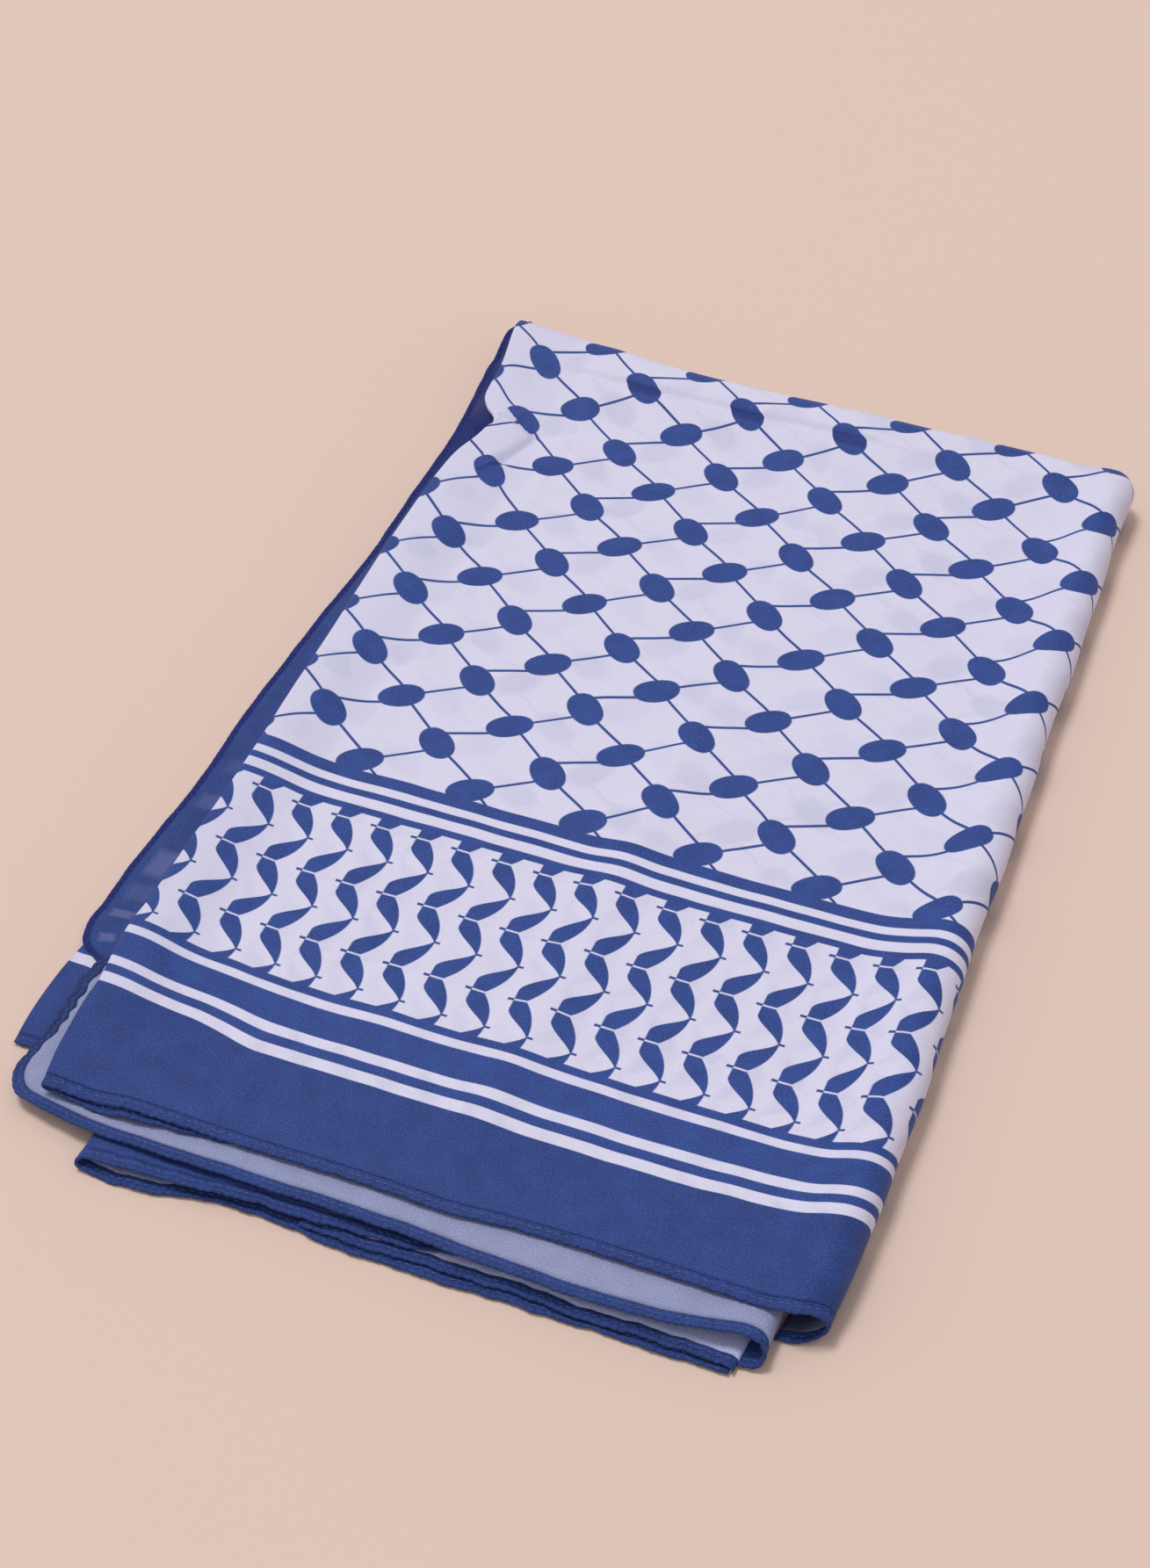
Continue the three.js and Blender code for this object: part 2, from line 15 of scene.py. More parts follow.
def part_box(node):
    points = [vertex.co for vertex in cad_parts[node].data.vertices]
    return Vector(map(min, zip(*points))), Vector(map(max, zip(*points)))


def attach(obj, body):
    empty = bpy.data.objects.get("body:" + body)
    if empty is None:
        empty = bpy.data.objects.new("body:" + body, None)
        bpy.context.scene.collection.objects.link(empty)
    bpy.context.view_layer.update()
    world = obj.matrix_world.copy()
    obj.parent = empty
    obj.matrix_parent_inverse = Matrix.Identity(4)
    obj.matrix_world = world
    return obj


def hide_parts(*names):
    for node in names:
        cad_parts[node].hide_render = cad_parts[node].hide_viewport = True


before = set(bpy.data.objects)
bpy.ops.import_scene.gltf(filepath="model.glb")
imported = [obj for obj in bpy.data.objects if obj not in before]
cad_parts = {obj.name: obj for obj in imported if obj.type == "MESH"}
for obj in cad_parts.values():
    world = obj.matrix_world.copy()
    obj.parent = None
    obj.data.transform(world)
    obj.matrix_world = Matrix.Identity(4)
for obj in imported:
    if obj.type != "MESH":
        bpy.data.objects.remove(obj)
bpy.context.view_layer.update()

MM = 0.001

# ---- sizes ----
CLOTH = 0.5             # thickness of a ply's shell
HEM_WIDTH = 5.2
SIDE_HEM_WIDTH = 3.0    # of the side ply's hem, rolled under and seen on edge
HEM_STEP = 0.9
STITCH = {"pitch": 3.6, "length": 2.4, "radius": 0.27, "at": 0.42, "proud": 0.12, "sides": 6}
SEAM = 0.15             # how far a panel runs in under its hem
ON_TABLE = 1.1          # height of a hem's middle where it lies on the table
MIDDLE_HEIGHT = 13.0    # height of the top ply over the middle of the packet
RIGHT_RISE, RIGHT_REACH = 8.5, 13.0
LEFT_RISE, LEFT_REACH = 3.5, 24.0
FAR_RISE, FAR_REACH = 8.0, 24.0
ROLL = 11.0             # radius of the right-hand roll
FAR_ROLL = 10.0         # how far the far fold rolls past its crest
FOLD_LIP = 1.2          # radius of the crisp left-hand fold
LEFT, RIGHT = -150.0, 152.0
FRONT_SHARE = 0.04      # where the hidden plies start, as a share of the packet's length
SIDE_OUT, LOWEST_FRONT = -174.0, -266.5     # the CAD's outermost points, before it is centred


def table(names, *rows):
    """A small table: a dictionary of named columns."""
    return dict(zip(names.split(), np.array(rows, float).T))


SIDES = table(
    "y left right",
    (-243, -143.2, 171), (-224, -145.2, 173.6), (-205, -145.5, 174.2), (-190, -145, 173.8),
    (-178, -146.3, 174), (-150, -147, 172.8), (-60, -147.4, 168.5), (20, -150.3, 164.5),
    (90, -152.5, 161), (140, -152, 158.2), (160, -150, 157), (172, -146.5, 156.6),
    (182, -144.5, 156.2), (187, -143.2, 156), (189.5, -144.5, 155.9),
    (194, -149.5, 155.6), (200, -154, 155.3), (212, -156.5, 154.7), (228, -157.5, 154),
    (250, -160.6, 153), (262, -162.2, 152.5))

ENDS = table(
    "x hem far",
    (-162, -243.5, 254), (-105, -241.5, 248.6), (-50, -240.5, 244.6),
    (0, -240.2, 244.6), (25, -240.9, 244.6), (50, -238.6, 244.6), (105, -237.4, 243.6),
    (174, -238.4, 237))

SECOND = table(
    "x y z x_back y_back z_back",
    (-153.5, -175, 10.6, -140, -173, 11), (-156.5, -184, 10.2, -137, -184, 11),
    (-157, -195, 9.8, -135, -194, 10.8), (-156.8, -207, 9.1, -133, -200, 10.5),
    (-157.8, -218, 8.1, -131, -204, 10.2), (-159.8, -228, 7, -129.5, -206.5, 10),
    (-160, -237, 6.2, -128, -208, 9.4), (-154.5, -245.4, 6.3, -126, -209, 9.2),
    (-142, -249.2, 6.9, -123, -209.5, 8.4), (-120, -252.4, 7.8, -114, -209, 7.4),
    (-80, -253.6, 9.1, -80, -206, 7.6), (-40, -253.8, 9.6, -40, -205, 8.4),
    (10, -253.9, 9.8, 10, -205, 10.2), (35, -255, 9.9, 35, -205, 10),
    (65, -256, 9.9, 65, -205, 9.6), (100, -256, 10, 100, -205, 9.4),
    (120, -254.4, 10.4, 120, -205, 9.4), (136, -252, 10.9, 136.5, -205, 9.4))
SECOND_SIDE_ROWS, SECOND_CORNER_ROWS = 4, 9     # rows of its side, and of side and corner
SECOND_ROLL = {"x": 149.0, "radius": 4.8, "out": 5.4, "front": -250.5, "back": -205.0,
               "lean": 6.0, "lift": 0.2, "under": 4.0}

SIDE = table(
    "x y x_back y_back",
    (-165, 267.2, -151, 257), (-168.2, 262, -148, 253.5), (-170.4, 254, -144, 249),
    (-171.8, 246, -140, 246), (-170.2, 230, -136, 230), (-166.8, 200, -132, 200),
    (-165.8, 150, -132, 150), (-165.5, 100, -132, 100), (-168.5, 40, -132, 40),
    (-171, -15, -132, -15), (-170.5, -60, -132, -60), (-173, -105, -132, -105),
    (-174, -140, -132, -138), (-173.5, -158, -132, -150), (-170.5, -166, -135, -156),
    (-163, -171, -140, -160), (-155, -175, -146, -161))

THIRD = table(
    "x y z", (-26, -260.2, 3), (-5, -260.4, 2.9), (22, -259.6, 2.9), (60, -259, 3.1),
    (95, -260.1, 3.2), (120, -259.2, 3.2), (138, -259.5, 3.2), (143.5, -260.2, 2.9),
    (145.2, -260.6, 2.3), (145.4, -260.8, 1.8))

UPPER_LEG = table(
    "x y z", (46, -250, 4.8), (20, -255, 4.9), (3, -256.6, 5.2), (-20, -257.8, 5.6),
    (-57, -259.4, 5.7), (-88, -262.2, 5.7), (-113, -263.5, 5.7))
LOWER_LEG = table(
    "x y", (-113, -266.5), (-88, -266), (-57, -260.5), (-8, -263), (76, -262), (144, -261.5))
LOWEST_LOOP = {"x": -114.0, "radius": 2.3, "out": 1.4}

FLAP = table(
    "y left right", (-221, -170.5, -153), (-205, -172, -153), (-190, -172, -153),
    (-180, -171.5, -153), (-160, -169, -153))

TUCK = {"inset": 1.6, "right": -42.0, "back": -150.0, "below": 1.6, "below_hem": 2.1, "reach": 2.6}

CORE = table(
    "y slope right",
    (-222, 7, 141), (-196, 7.5, 141), (-186, 9, 156), (-176, 15, 157),
    (-150, 15.5, 156.5), (-60, 15, 153), (20, 14.5, 149), (160, 14, 141.5), (264, 12, 137))
SLOPE_CURVE = 1.15

# Main creases of the top ply: a ridge from one point to another, or a trough where the height
# is less than 0, that many millimetres wide either side.
CREASES = table(
    "x0 y0 x1 y1 height width",
    (20, -215, 22, 10, 2, 12),  # long soft ridge in the middle
    (143, -262, 140, -40, 1.6, 11),  # beside the right-hand roll
    (-143, -170, -147, -20, 2.6, 20),  # lift along the left fold
    (-136, -206, -142, -158, 3, 20),
    (-156, -258, -118, -240, -3.4, 18),  # where the hemmed corner droops
    (-108, -262, -107, -150, 0.5, 11),
    (70, -262, 78, -120, -0.6, 16),
    (-60, -262, -52, -130, -0.5, 14),
    (-108, -30, -108, 262, 0.7, 8),  # folds below that show as bright bands
    (20, 10, 21, 262, 0.5, 8),
    (-26, 30, 12, 54, 1.1, 7),  # a lump by the middle
    (0, -26, 170, -22, 0.5, 5),
    (5, -40, 160, -37, -0.5, 5),
    (-104, 231, 34, 229, -0.35, 3.4),  # valley before the far fold
    (-98, 238, 30, 236, 0.7, 4.5),
    (-104, 247, 160, 242, -1.5, 14),
    (60, 214, 165, 222, 0.8, 9),
    (-136, -30, -136, 150, 2, 14),  # lift along the left fold
    (-150, -243, 170, -238, -1, 14),  # droop of the hemmed edge
    (146, -241, 200, -238, -5, 12),  # and of the roll's open end
    (-121.5, 182, -128.5, 161, -3, 2.6),  # the pinch at the left fold
    (-134, 163, -124, 140, 1, 4.5),
    (-150, 212, -118, 204, 0.9, 6))

# Small pleats of the top ply. Each runs from one point to another and the cloth on its left
# lies higher, by step; the other side's print starts hidden millimetres further on.
PLEATS = table(
    "x0 y0 x1 y1 step reach fade hidden",
    (-147, 184.6, -141.8, 185.6, 0.8, 8, 2, 0),
    (-141.8, 190.8, -133, 190, 1, 8, 3, 0),
    (-140.5, 196, -122.5, 182.3, 1, 8, 3, 5),
    (-134.2, 150.5, -128.6, 158.8, 1, 7, 3, 2.5),
    (-112, 233.5, 40, 231.5, 0.6, 10, 16, 2.6))
PLEAT_STRETCH = 12.0    # how far the print takes to come back to its place
PLEAT_CLEFT = 1.2       # width of the cleft under its edge


# ---- reading tables ----
def read(from_table, key, column, at):
    """One named column of a table at values of its key column, smoothly between the rows."""
    keys, values = from_table[key], from_table[column]
    slopes = np.gradient(values, keys)
    at = np.clip(at, keys[0], keys[-1])
    i = np.clip(np.searchsorted(keys, at, side="right") - 1, 0, len(keys) - 2)
    width = keys[i + 1] - keys[i]
    t = (at - keys[i]) / width
    return ((1 + 2 * t) * (1 - t) ** 2 * values[i] + t * (1 - t) ** 2 * width * slopes[i]
            + t * t * (3 - 2 * t) * values[i + 1] - t * t * (1 - t) * width * slopes[i + 1])


def smooth(value, low, high):
    t = np.clip((value - low) / (high - low), 0, 1)
    return t * t * (3 - 2 * t)


def lerp(a, b, t):
    return a + (b - a) * t


def bump(distance, reach):
    return np.exp(-((distance / reach) ** 2))


def ripple(*waves):
    """A smooth uneven function of one length: the sum of (height, wavelength, phase) waves."""
    def at(length):
        return sum(h * np.sin(2 * np.pi * length / wave + phase) for h, wave, phase in waves)
    return at


def hem_at(x):
    return read(ENDS, "x", "hem", x)


# ---- the shape of the packet's top ----
def beside(x, y, x0, y0, x1, y1):
    """Places along and across a line, its length and its direction."""
    length = math.hypot(x1 - x0, y1 - y0)
    ux, uy = (x1 - x0) / length, (y1 - y0) / length
    return (x - x0) * ux + (y - y0) * uy, (y - y0) * ux - (x - x0) * uy, length, (ux, uy)


def pleats(x, y):
    """For each pleat: the distance to its high side, where it acts, and its sizes."""
    for x0, y0, x1, y1, step, reach, fade, hidden in zip(*PLEATS.values()):
        along, side, length, (ux, uy) = beside(x, y, x0, y0, x1, y1)
        ends = smooth(along, -fade, 0) * (1 - smooth(along, length, length + fade))
        yield side, ends, step, reach, hidden * np.array([uy, -ux])


def relief(x, y):
    """The creases and soft unevenness of the top ply."""
    total = np.zeros(np.broadcast(x, y).shape)
    for x0, y0, x1, y1, height, width in zip(*CREASES.values()):
        along, across, length, _ = beside(x, y, x0, y0, x1, y1)
        fade = min(length / 3, 2.5 * width)
        ends = (smooth(along, -fade, fade / 2)
                * (1 - smooth(along, length - fade / 2, length + fade)))
        total = total + height * bump(across, width) * ends
    for side, ends, step, reach, hidden in pleats(x, y):
        total = total + step * ends * np.where(side > 0, np.exp(-np.abs(side) / reach),
                                               -0.8 * np.exp(-np.abs(side) / PLEAT_CLEFT))
    from_hem = np.maximum(y - hem_at(x), 0)
    gathers = np.sin(2 * np.pi * x / 7.3 + 0.6 * np.sin(x / 19))
    total = total + 0.28 * gathers * np.exp(-from_hem / 4)
    uneven = (0.22 * np.sin(x / 17 + y / 41 + 1) + 0.18 * np.sin(y / 23 - x / 31 + 2)
              + 0.12 * np.sin(x / 9 - y / 13) + 0.1 * np.sin(y / 8 + x / 21 + 4))
    return total + uneven


def lengthwise(x, share):
    """Where a line across the packet is at x: share 0 is the front hem, 1 the far crest."""
    return lerp(hem_at(x), read(ENDS, "x", "far", x), share)


def left_at(y):
    return read(SIDES, "y", "left", y)


def crest_at(y):
    return read(SIDES, "y", "right", y) - ROLL


def plain_height(x, y):
    from_right = np.maximum(crest_at(y) - x, 0)
    from_left = np.maximum(x - left_at(y), 0)
    from_far = np.maximum(read(ENDS, "x", "far", x) - y, 0)
    rises = (RIGHT_RISE * bump(from_right, RIGHT_REACH), LEFT_RISE * bump(from_left, LEFT_REACH),
             FAR_RISE * bump(from_far, FAR_REACH))
    return MIDDLE_HEIGHT + np.sqrt(sum(rise ** 2 for rise in rises))


def top_height(x, y):
    return plain_height(x, y) + relief(x, y)


# ---- meshes ----
# The CAD source centres its box, and these two solids' outermost points give the shift.
SHIFT = np.array([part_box("side_hem")[0].x / MM - SIDE_OUT,
                  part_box("lowest_hem")[0].y / MM - LOWEST_FRONT, 0.0])


def settle_on_floor(points, height):
    points[..., 2] = np.maximum(points[..., 2], height)
    return points


def spaced(*steps):
    """Places from the first step's start to the last one's, each stretch at its own spacing."""
    stretches = [np.arange(start, end - 0.4 * gap, gap)
                 for (start, gap), (end, _) in zip(steps, steps[1:])]
    return np.append(np.concatenate(stretches), steps[-1][0])


def lengths(points, axis):
    """Distance walked along one axis of a grid of points."""
    steps = np.linalg.norm(np.diff(points, axis=axis), axis=-1)
    start = np.zeros_like(np.take(steps, [0], axis=axis))
    return np.concatenate([start, np.cumsum(steps, axis=axis)], axis=axis)


def add_object(name, data):
    thing = bpy.data.objects.new(name, data)
    bpy.context.scene.collection.objects.link(thing)
    return thing


def new_piece(name, points, faces, cloth_at):
    """A mesh object from points in millimetres, with its place on the flat cloth as its UV."""
    mesh = bpy.data.meshes.new(name)
    points = settle_on_floor(points, 0.02)
    mesh.from_pydata(((points + SHIFT) * MM).tolist(), [], faces.tolist())
    corners = np.empty(len(mesh.loops), np.int32)
    mesh.loops.foreach_get("vertex_index", corners)
    layer = mesh.uv_layers.new(name="cloth")
    layer.data.foreach_set("uv", (cloth_at[corners] * MM).astype(np.float32).ravel())
    mesh.polygons.foreach_set("use_smooth", np.ones(len(mesh.polygons), bool))
    mesh.update()
    return add_object(name, mesh)


def xyz(x, y, z):
    """Points from their coordinates, each an array or one number."""
    return np.stack(np.broadcast_arrays(x, y, z), -1)


def resampled(line, was, at):
    """A line of points known at some places, taken straight at others."""
    return np.stack([np.interp(at, was, line[:, k]) for k in range(3)], -1)


def stands_for(piece, node=None):
    """Ties a piece to the one body and the CAD node it replaces."""
    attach(piece, "root")
    if node:
        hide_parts(node)


def grid_faces(rows, columns, keep=None, start=0):
    """The quads of a grid, those only that keep says where it is given."""
    i, j = np.meshgrid(np.arange(rows - 1), np.arange(columns - 1), indexing="ij")
    corner = start + i * columns + j
    quads = np.stack([corner, corner + 1, corner + columns + 1, corner + columns], -1)
    return quads[keep] if keep is not None else quads.reshape(-1, 4)


def shell(piece, outside, inside, thickness=CLOTH):
    """Gives a piece the cloth's thickness and the material of each of its two sides."""
    piece.data.materials.append(outside)
    piece.data.materials.append(inside)
    solid = piece.modifiers.new("thickness", "SOLIDIFY")
    solid.thickness = thickness * MM
    solid.offset = 0
    solid.material_offset = 1


def weld(piece, distance=0.02):
    """Joins points that lie on each other and drops those that no face uses."""
    b = bmesh.new()
    b.from_mesh(piece.data)
    bmesh.ops.remove_doubles(b, verts=b.verts, dist=distance * MM)
    bmesh.ops.delete(b, geom=[v for v in b.verts if not v.link_faces], context="VERTS")
    b.to_mesh(piece.data)
    b.free()


def even(line, spacing):
    """A polyline of points taken at even spacing along a smooth curve through the given ones."""
    walked = lengths(line, 0)
    at = np.linspace(0, walked[-1], max(int(walked[-1] / spacing), 2) + 1)
    knots = {"s": walked, **{str(k): line[:, k] for k in range(line.shape[1])}}
    return np.stack([read(knots, "s", str(k), at) for k in range(line.shape[1])], -1)


# ---- node trees ----
def adds_node(operation):
    """A method that adds a Math node of one operation."""
    return lambda self, *others: self.math(operation, *others)


class Value:
    """A number in a node tree. Arithmetic on it adds Math nodes."""

    def __init__(self, socket):
        self.socket, self.tree = socket, socket.id_data

    def math(self, operation, *others, clamp=False):
        node = self.tree.nodes.new("ShaderNodeMath")
        node.operation, node.use_clamp = operation, clamp
        put(node, dict(enumerate((self, *others))))
        return Value(node.outputs[0])

    __add__, __sub__, __mul__ = adds_node("ADD"), adds_node("SUBTRACT"), adds_node("MULTIPLY")
    __pow__, __abs__ = adds_node("POWER"), adds_node("ABSOLUTE")
    least, most = adds_node("MINIMUM"), adds_node("MAXIMUM")

    def __neg__(self):
        return self * -1.0

    def wrap(self, low, high):
        return self.math("WRAP", high, low)

    def step(self, low, high, start=0.0, end=1.0):
        """Goes smoothly from start at low to end at high."""
        node = self.tree.nodes.new("ShaderNodeMapRange")
        node.interpolation_type = "SMOOTHSTEP"
        put(node, {"Value": self, "From Min": low, "From Max": high, "To Min": start,
                   "To Max": end})
        return Value(node.outputs["Result"])

    def mask(self, softness):
        """1 where this distance is inside, 0 outside, with a soft edge."""
        return self.math("MULTIPLY_ADD", 1 / softness, 0.5, clamp=True)


def put(node, values):
    """Fills a node's inputs, each with a plain number or colour, a Value or a socket."""
    for name, value in values.items():
        if isinstance(value, Value):
            value = value.socket
        if isinstance(value, bpy.types.NodeSocket):
            node.id_data.links.new(value, node.inputs[name])
        else:
            node.inputs[name].default_value = value


def noise(vector, scale, detail=2.0, roughness=0.5):
    node = vector.id_data.nodes.new("ShaderNodeTexNoise")
    put(node, {"Vector": vector, "Scale": scale, "Detail": detail, "Roughness": roughness})
    return Value(node.outputs["Fac"])


def sway(vector, scale, width, detail=1.0):
    """Noise that goes as far below 0 as above it."""
    return noise(vector, scale, detail) * width - width / 2


MIX_AMOUNT, MIX_A, MIX_B, MIX_OUT = 0, 6, 7, 2     # a Mix node's sockets for colours


def blended(amount, colour_a, colour_b):
    """colour_a turned into colour_b by an amount; each is a socket or a plain colour."""
    node = amount.tree.nodes.new("ShaderNodeMix")
    node.data_type = "RGBA"
    put(node, {MIX_AMOUNT: amount, MIX_A: colour_a, MIX_B: colour_b})
    return node.outputs[MIX_OUT]


# ---- the print ----
# x runs across the packet and y along it. The net has one oval leaning down to the right at the
# middle of each cell, and one leaning up to the right at its corners.
NET = {"x": 23.3, "y": 104.7, "across": 51.0, "along": 41.53, "line": 1.35}
OVAL_DOWN = {"tilt": math.radians(-42), "long": 10.3, "short": 6.9}
OVAL_UP = {"tilt": math.radians(32), "long": 10.3, "short": 6.6}
OVAL_UP_AT = (24.7, 20.6)           # from the middle of a cell to its leaning-up oval
OVAL_POWER = 2.15
# Leaves: mirrored in pairs about a gap, chained by their tips.
LEAF = {"x": 9.2, "y": -73.5, "across": 18.15, "along": 33.0, "wide": 13.0, "gap": 0.42,
        "base": 5.5, "tick": 2.5}
LEAF_BAND = (-162.2, -68.3)
STRIPES = ((-400.0, -198.4), (-193.0, -188.4), (-183.6, -169.8), (-165.6, -161.7),
           (-68.8, -65.2), (-60.0, -56.4), (-52.3, -46.2))
NET_FROM = -49.0
EDGE = 0.4              # softness of the print's edges


def oval(x, y, tilt, long, short):
    """How far inside an oval a point is."""
    along = x * math.cos(tilt) + y * math.sin(tilt)
    across = y * math.cos(tilt) - x * math.sin(tilt)
    out = abs(along * (1 / long)) ** OVAL_POWER + abs(across * (1 / short)) ** OVAL_POWER
    return (out ** (1 / OVAL_POWER) - 1.0) * -short


def net_parts(x, y):
    """How far inside the net's ovals, and inside its lines, a point is."""
    half_x, half_y = NET["across"] / 2, NET["along"] / 2
    dx = (x - NET["x"]).wrap(-half_x, half_x)
    dy = (y - NET["y"]).wrap(-half_y, half_y)
    middle = oval(dx, dy, **OVAL_DOWN)
    corner = oval((x - (NET["x"] + OVAL_UP_AT[0])).wrap(-half_x, half_x),
                  (y - (NET["y"] + OVAL_UP_AT[1])).wrap(-half_y, half_y), **OVAL_UP)
    right = dx.math("GREATER_THAN", 0.0)
    left = right.math("SUBTRACT", 1.0).math("ABSOLUTE")
    upper = (dx * 0.387 + 6.64) * right + (dx * -0.78 + 2.1) * left
    lower = (dx * -0.653 - 0.35) * right + (dx * 0.636 - 4.12) * left
    line = abs(dy - upper).least(abs(dy - lower)) * -0.85 + NET["line"] / 2
    return middle.most(corner), line


def leaves(x, y):
    """How far inside the chained leaves a point is."""
    half = LEAF["along"] / 2
    dx = (x - LEAF["x"]).wrap(-LEAF["tick"] - 0.3, LEAF["across"] - LEAF["tick"] - 0.3)
    dy = (y - LEAF["y"]).wrap(-half, half)
    up = abs(dy)
    share = up * (1 / half)
    left_edge = share.step(0.3, 1.1, 0.1, LEAF["wide"] - 0.1)
    right_edge = ((share * -1.0 + 1.0).most(0.0) ** 2.2) * (LEAF["base"] - LEAF["wide"])
    right_edge = right_edge + LEAF["wide"]
    blade = (dx - left_edge).least(right_edge - dx) * 0.8
    blade = blade.least(up - LEAF["gap"])
    stem = (dx + LEAF["tick"]).least(-dx + 0.3).least(up * -1.0 + 0.65)
    tip = (dx - (LEAF["wide"] - 0.6)).least(dx * -1.0 + LEAF["wide"] + LEAF["tick"] - 0.3)
    tip = tip.least(up - (half - 0.55))
    return blade.most(stem).most(tip)


def ink(x, y):
    """How far inside the blue of the print a point is."""
    def between(low, high):
        return (y - low).least(-y + high)

    inside = leaves(x, y).least(between(*LEAF_BAND))
    for stripe in STRIPES:
        inside = inside.most(between(*stripe))
    ovals, lines = net_parts(x, y)
    return inside.most(ovals.most(lines).least(y - NET_FROM))


def srgb(red, green, blue):
    """A colour given as the eye sees it, 0 to 255, as the shader's linear colour."""
    part = [v / 255 for v in (red, green, blue)]
    return tuple(v / 12.92 if v <= 0.04045 else ((v + 0.055) / 1.055) ** 2.4 for v in part) + (1.0,)


BLUE = srgb(42, 68, 137)
WHITE = srgb(215, 215, 241)
PALE = srgb(145, 153, 194)          # the blue seen from the wrong side
PALE_WHITE = srgb(200, 200, 226)
SIDE_GLOW = srgb(116, 120, 170)     # pale patches that show through the side ply
# A deep blue that paints shade in folds and hollows, not a colour of the cloth.
PAINTED_SHADE_BLUE = srgb(8, 26, 98)
SHADE = srgb(184, 189, 221)         # a lower ply's print, seen through the white
THREAD = srgb(78, 108, 182)


def new_material(name, roughness=0.66, sheen=0.1):
    """A material and its shader, and the place on the flat cloth, in millimetres, as a vector
    socket, x and y."""
    material = bpy.data.materials.new(name)
    material.use_nodes = True
    tree = material.node_tree
    shader = tree.nodes["Principled BSDF"]
    put(shader, {"Roughness": roughness, "Specular IOR Level": 0.25, "Sheen Weight": sheen,
                 "Sheen Roughness": 0.45, "Sheen Tint": srgb(214, 218, 240)})
    uv = tree.nodes.new("ShaderNodeUVMap")
    uv.uv_map = "cloth"
    scaled = tree.nodes.new("ShaderNodeVectorMath")
    scaled.operation = "SCALE"
    put(scaled, {0: uv.outputs["UV"], "Scale": 1 / MM})
    vector = scaled.outputs[0]
    split = tree.nodes.new("ShaderNodeSeparateXYZ")
    put(split, {0: vector})
    return material, shader, vector, Value(split.outputs["X"]), Value(split.outputs["Y"])


def crepe(shader, vector, strength=0.55):
    """The pebbled grain of crepe, as bump."""
    grain = noise(vector, 1.5, 2.5, 0.6)
    twist = noise(vector, 0.35)
    node = shader.id_data.nodes.new("ShaderNodeBump")
    put(node, {"Strength": strength, "Distance": 0.3 * MM, "Height": grain + twist * 0.8})
    put(shader, {"Normal": node.outputs["Normal"]})


def shaded(colour, share):
    return tuple(min(v * share, 1.0) for v in colour[:3]) + (1.0,)


def toned(tone, colour, dark, pale):
    """A colour between a darker and a paler share of itself, by a tone from 0 to 1."""
    return blended(tone.math("MULTIPLY", 1.0, clamp=True), shaded(colour, dark),
                   shaded(colour, pale))


def speckle(vector):
    """The crepe yarns' uneven tone, about 0.5, with soft mottling."""
    yarns = noise(vector, 1.4, 2.0, 0.6) * 2.8 + noise(vector, 2.4, 1.5, 0.6) * 3.0
    return yarns - 2.4 + sway(vector, 0.1, 0.9, 3.0)


def print_cloth(name, blue, white, contrast=1.0, show_through=0.5, patches=()):
    """The printed crepe chiffon. Patches are (x, y, reach across, reach along, strength, colour):
    paler where a fold below shows through, deeper where shade is painted on the blue."""
    material, shader, vector, x, y = new_material(name)
    crepe(shader, vector)
    tone = speckle(vector)
    printed = ink(x + sway(vector, 0.03, 1.4), y + sway(vector, 0.037, 1.4))
    # What shows through from the plies below: their own net, turned over, and their leaves.
    fold = x.step(15.0, 25.0)
    below_x = fold * 17.8 - x + 12.3 + sway(vector, 0.09, 7.0)
    below_y = fold * 8.4 + y - 5.4 + sway(vector, 0.11, 6.0)
    ovals, lines = net_parts(below_x, below_y)
    ghost = (ovals.mask(3.5) * 0.9).most(lines.mask(1.6) * 0.6) * y.step(-52.0, -40.0)
    leafy = leaves(below_x, below_y).mask(3.0) * y.step(-60.0, -70.0) * 0.7
    margin = x.step(-114.0, -122.0) * 0.45
    uneven = noise(vector, 0.018, 1.0) * 2.4 - 0.5
    below = (ghost.most(leafy) * uneven).most(0.0).most(margin)
    below = below + sway(vector, 0.05, 0.5, 2.0)
    lift = abs(x + 108.0).step(5.0, 0.0) * 0.5 + abs(x - 20.0).step(4.0, 0.0) * 0.4
    below = (below - lift).math("MULTIPLY", show_through, clamp=True)
    ground = blended(below, toned(tone, white, 0.94, 1.05), SHADE)
    ink_tone = tone + 0.06 - y.step(-190.0, -200.0) * 0.22
    inked = toned(ink_tone, blue, 1 - 0.38 * contrast, 1 + 0.48 * contrast)
    for place_x, place_y, wide, long, strength, tint in patches:
        away = abs((x - place_x) * (1 / wide)).most(abs((y - place_y) * (1 / long)))
        inked = blended(away.step(1.1, 0.5) * strength, inked, tint)
    put(shader, {"Base Color": blended(printed.mask(EDGE), ground, inked)})
    return material


HEM_SHADE = {"depth": 0.32, "fade": 12.0}   # where the ply above shades a hem
ALL_ALONG = 1000.0      # past the end of any hem


def hem_cloth(name, blue, deep_until=0.0, sheen=0.1):
    """The blue border cloth of a rolled hem, puckered by its stitches. The part that lies in the
    shade of the ply above is deeper."""
    material, shader, vector, x, y = new_material(name, sheen=sheen)
    crepe(shader, vector, 0.7)
    # Gathers slant across the hem between its stitches; their folds are painted darker, as shade.
    slant = x * (2 * math.pi / STITCH["pitch"]) + y * 0.9 + noise(vector, 0.25, 1.0) * 6.0
    shade = x.step(deep_until, deep_until - HEM_SHADE["fade"]) * HEM_SHADE["depth"]
    tone = speckle(vector) + slant.math("SINE") * 0.13 - shade
    put(shader, {"Base Color": toned(tone, blue, 0.38, 1.25)})
    return material


def thread_material(name, colour):
    material, shader, _, x, y = new_material(name, roughness=0.5)
    twist = (x + y * 0.6).math("MULTIPLY", 9.0).math("SINE") * 0.5 + 0.5
    put(shader, {"Base Color": blended(twist, shaded(colour, 0.7), colour)})
    return material
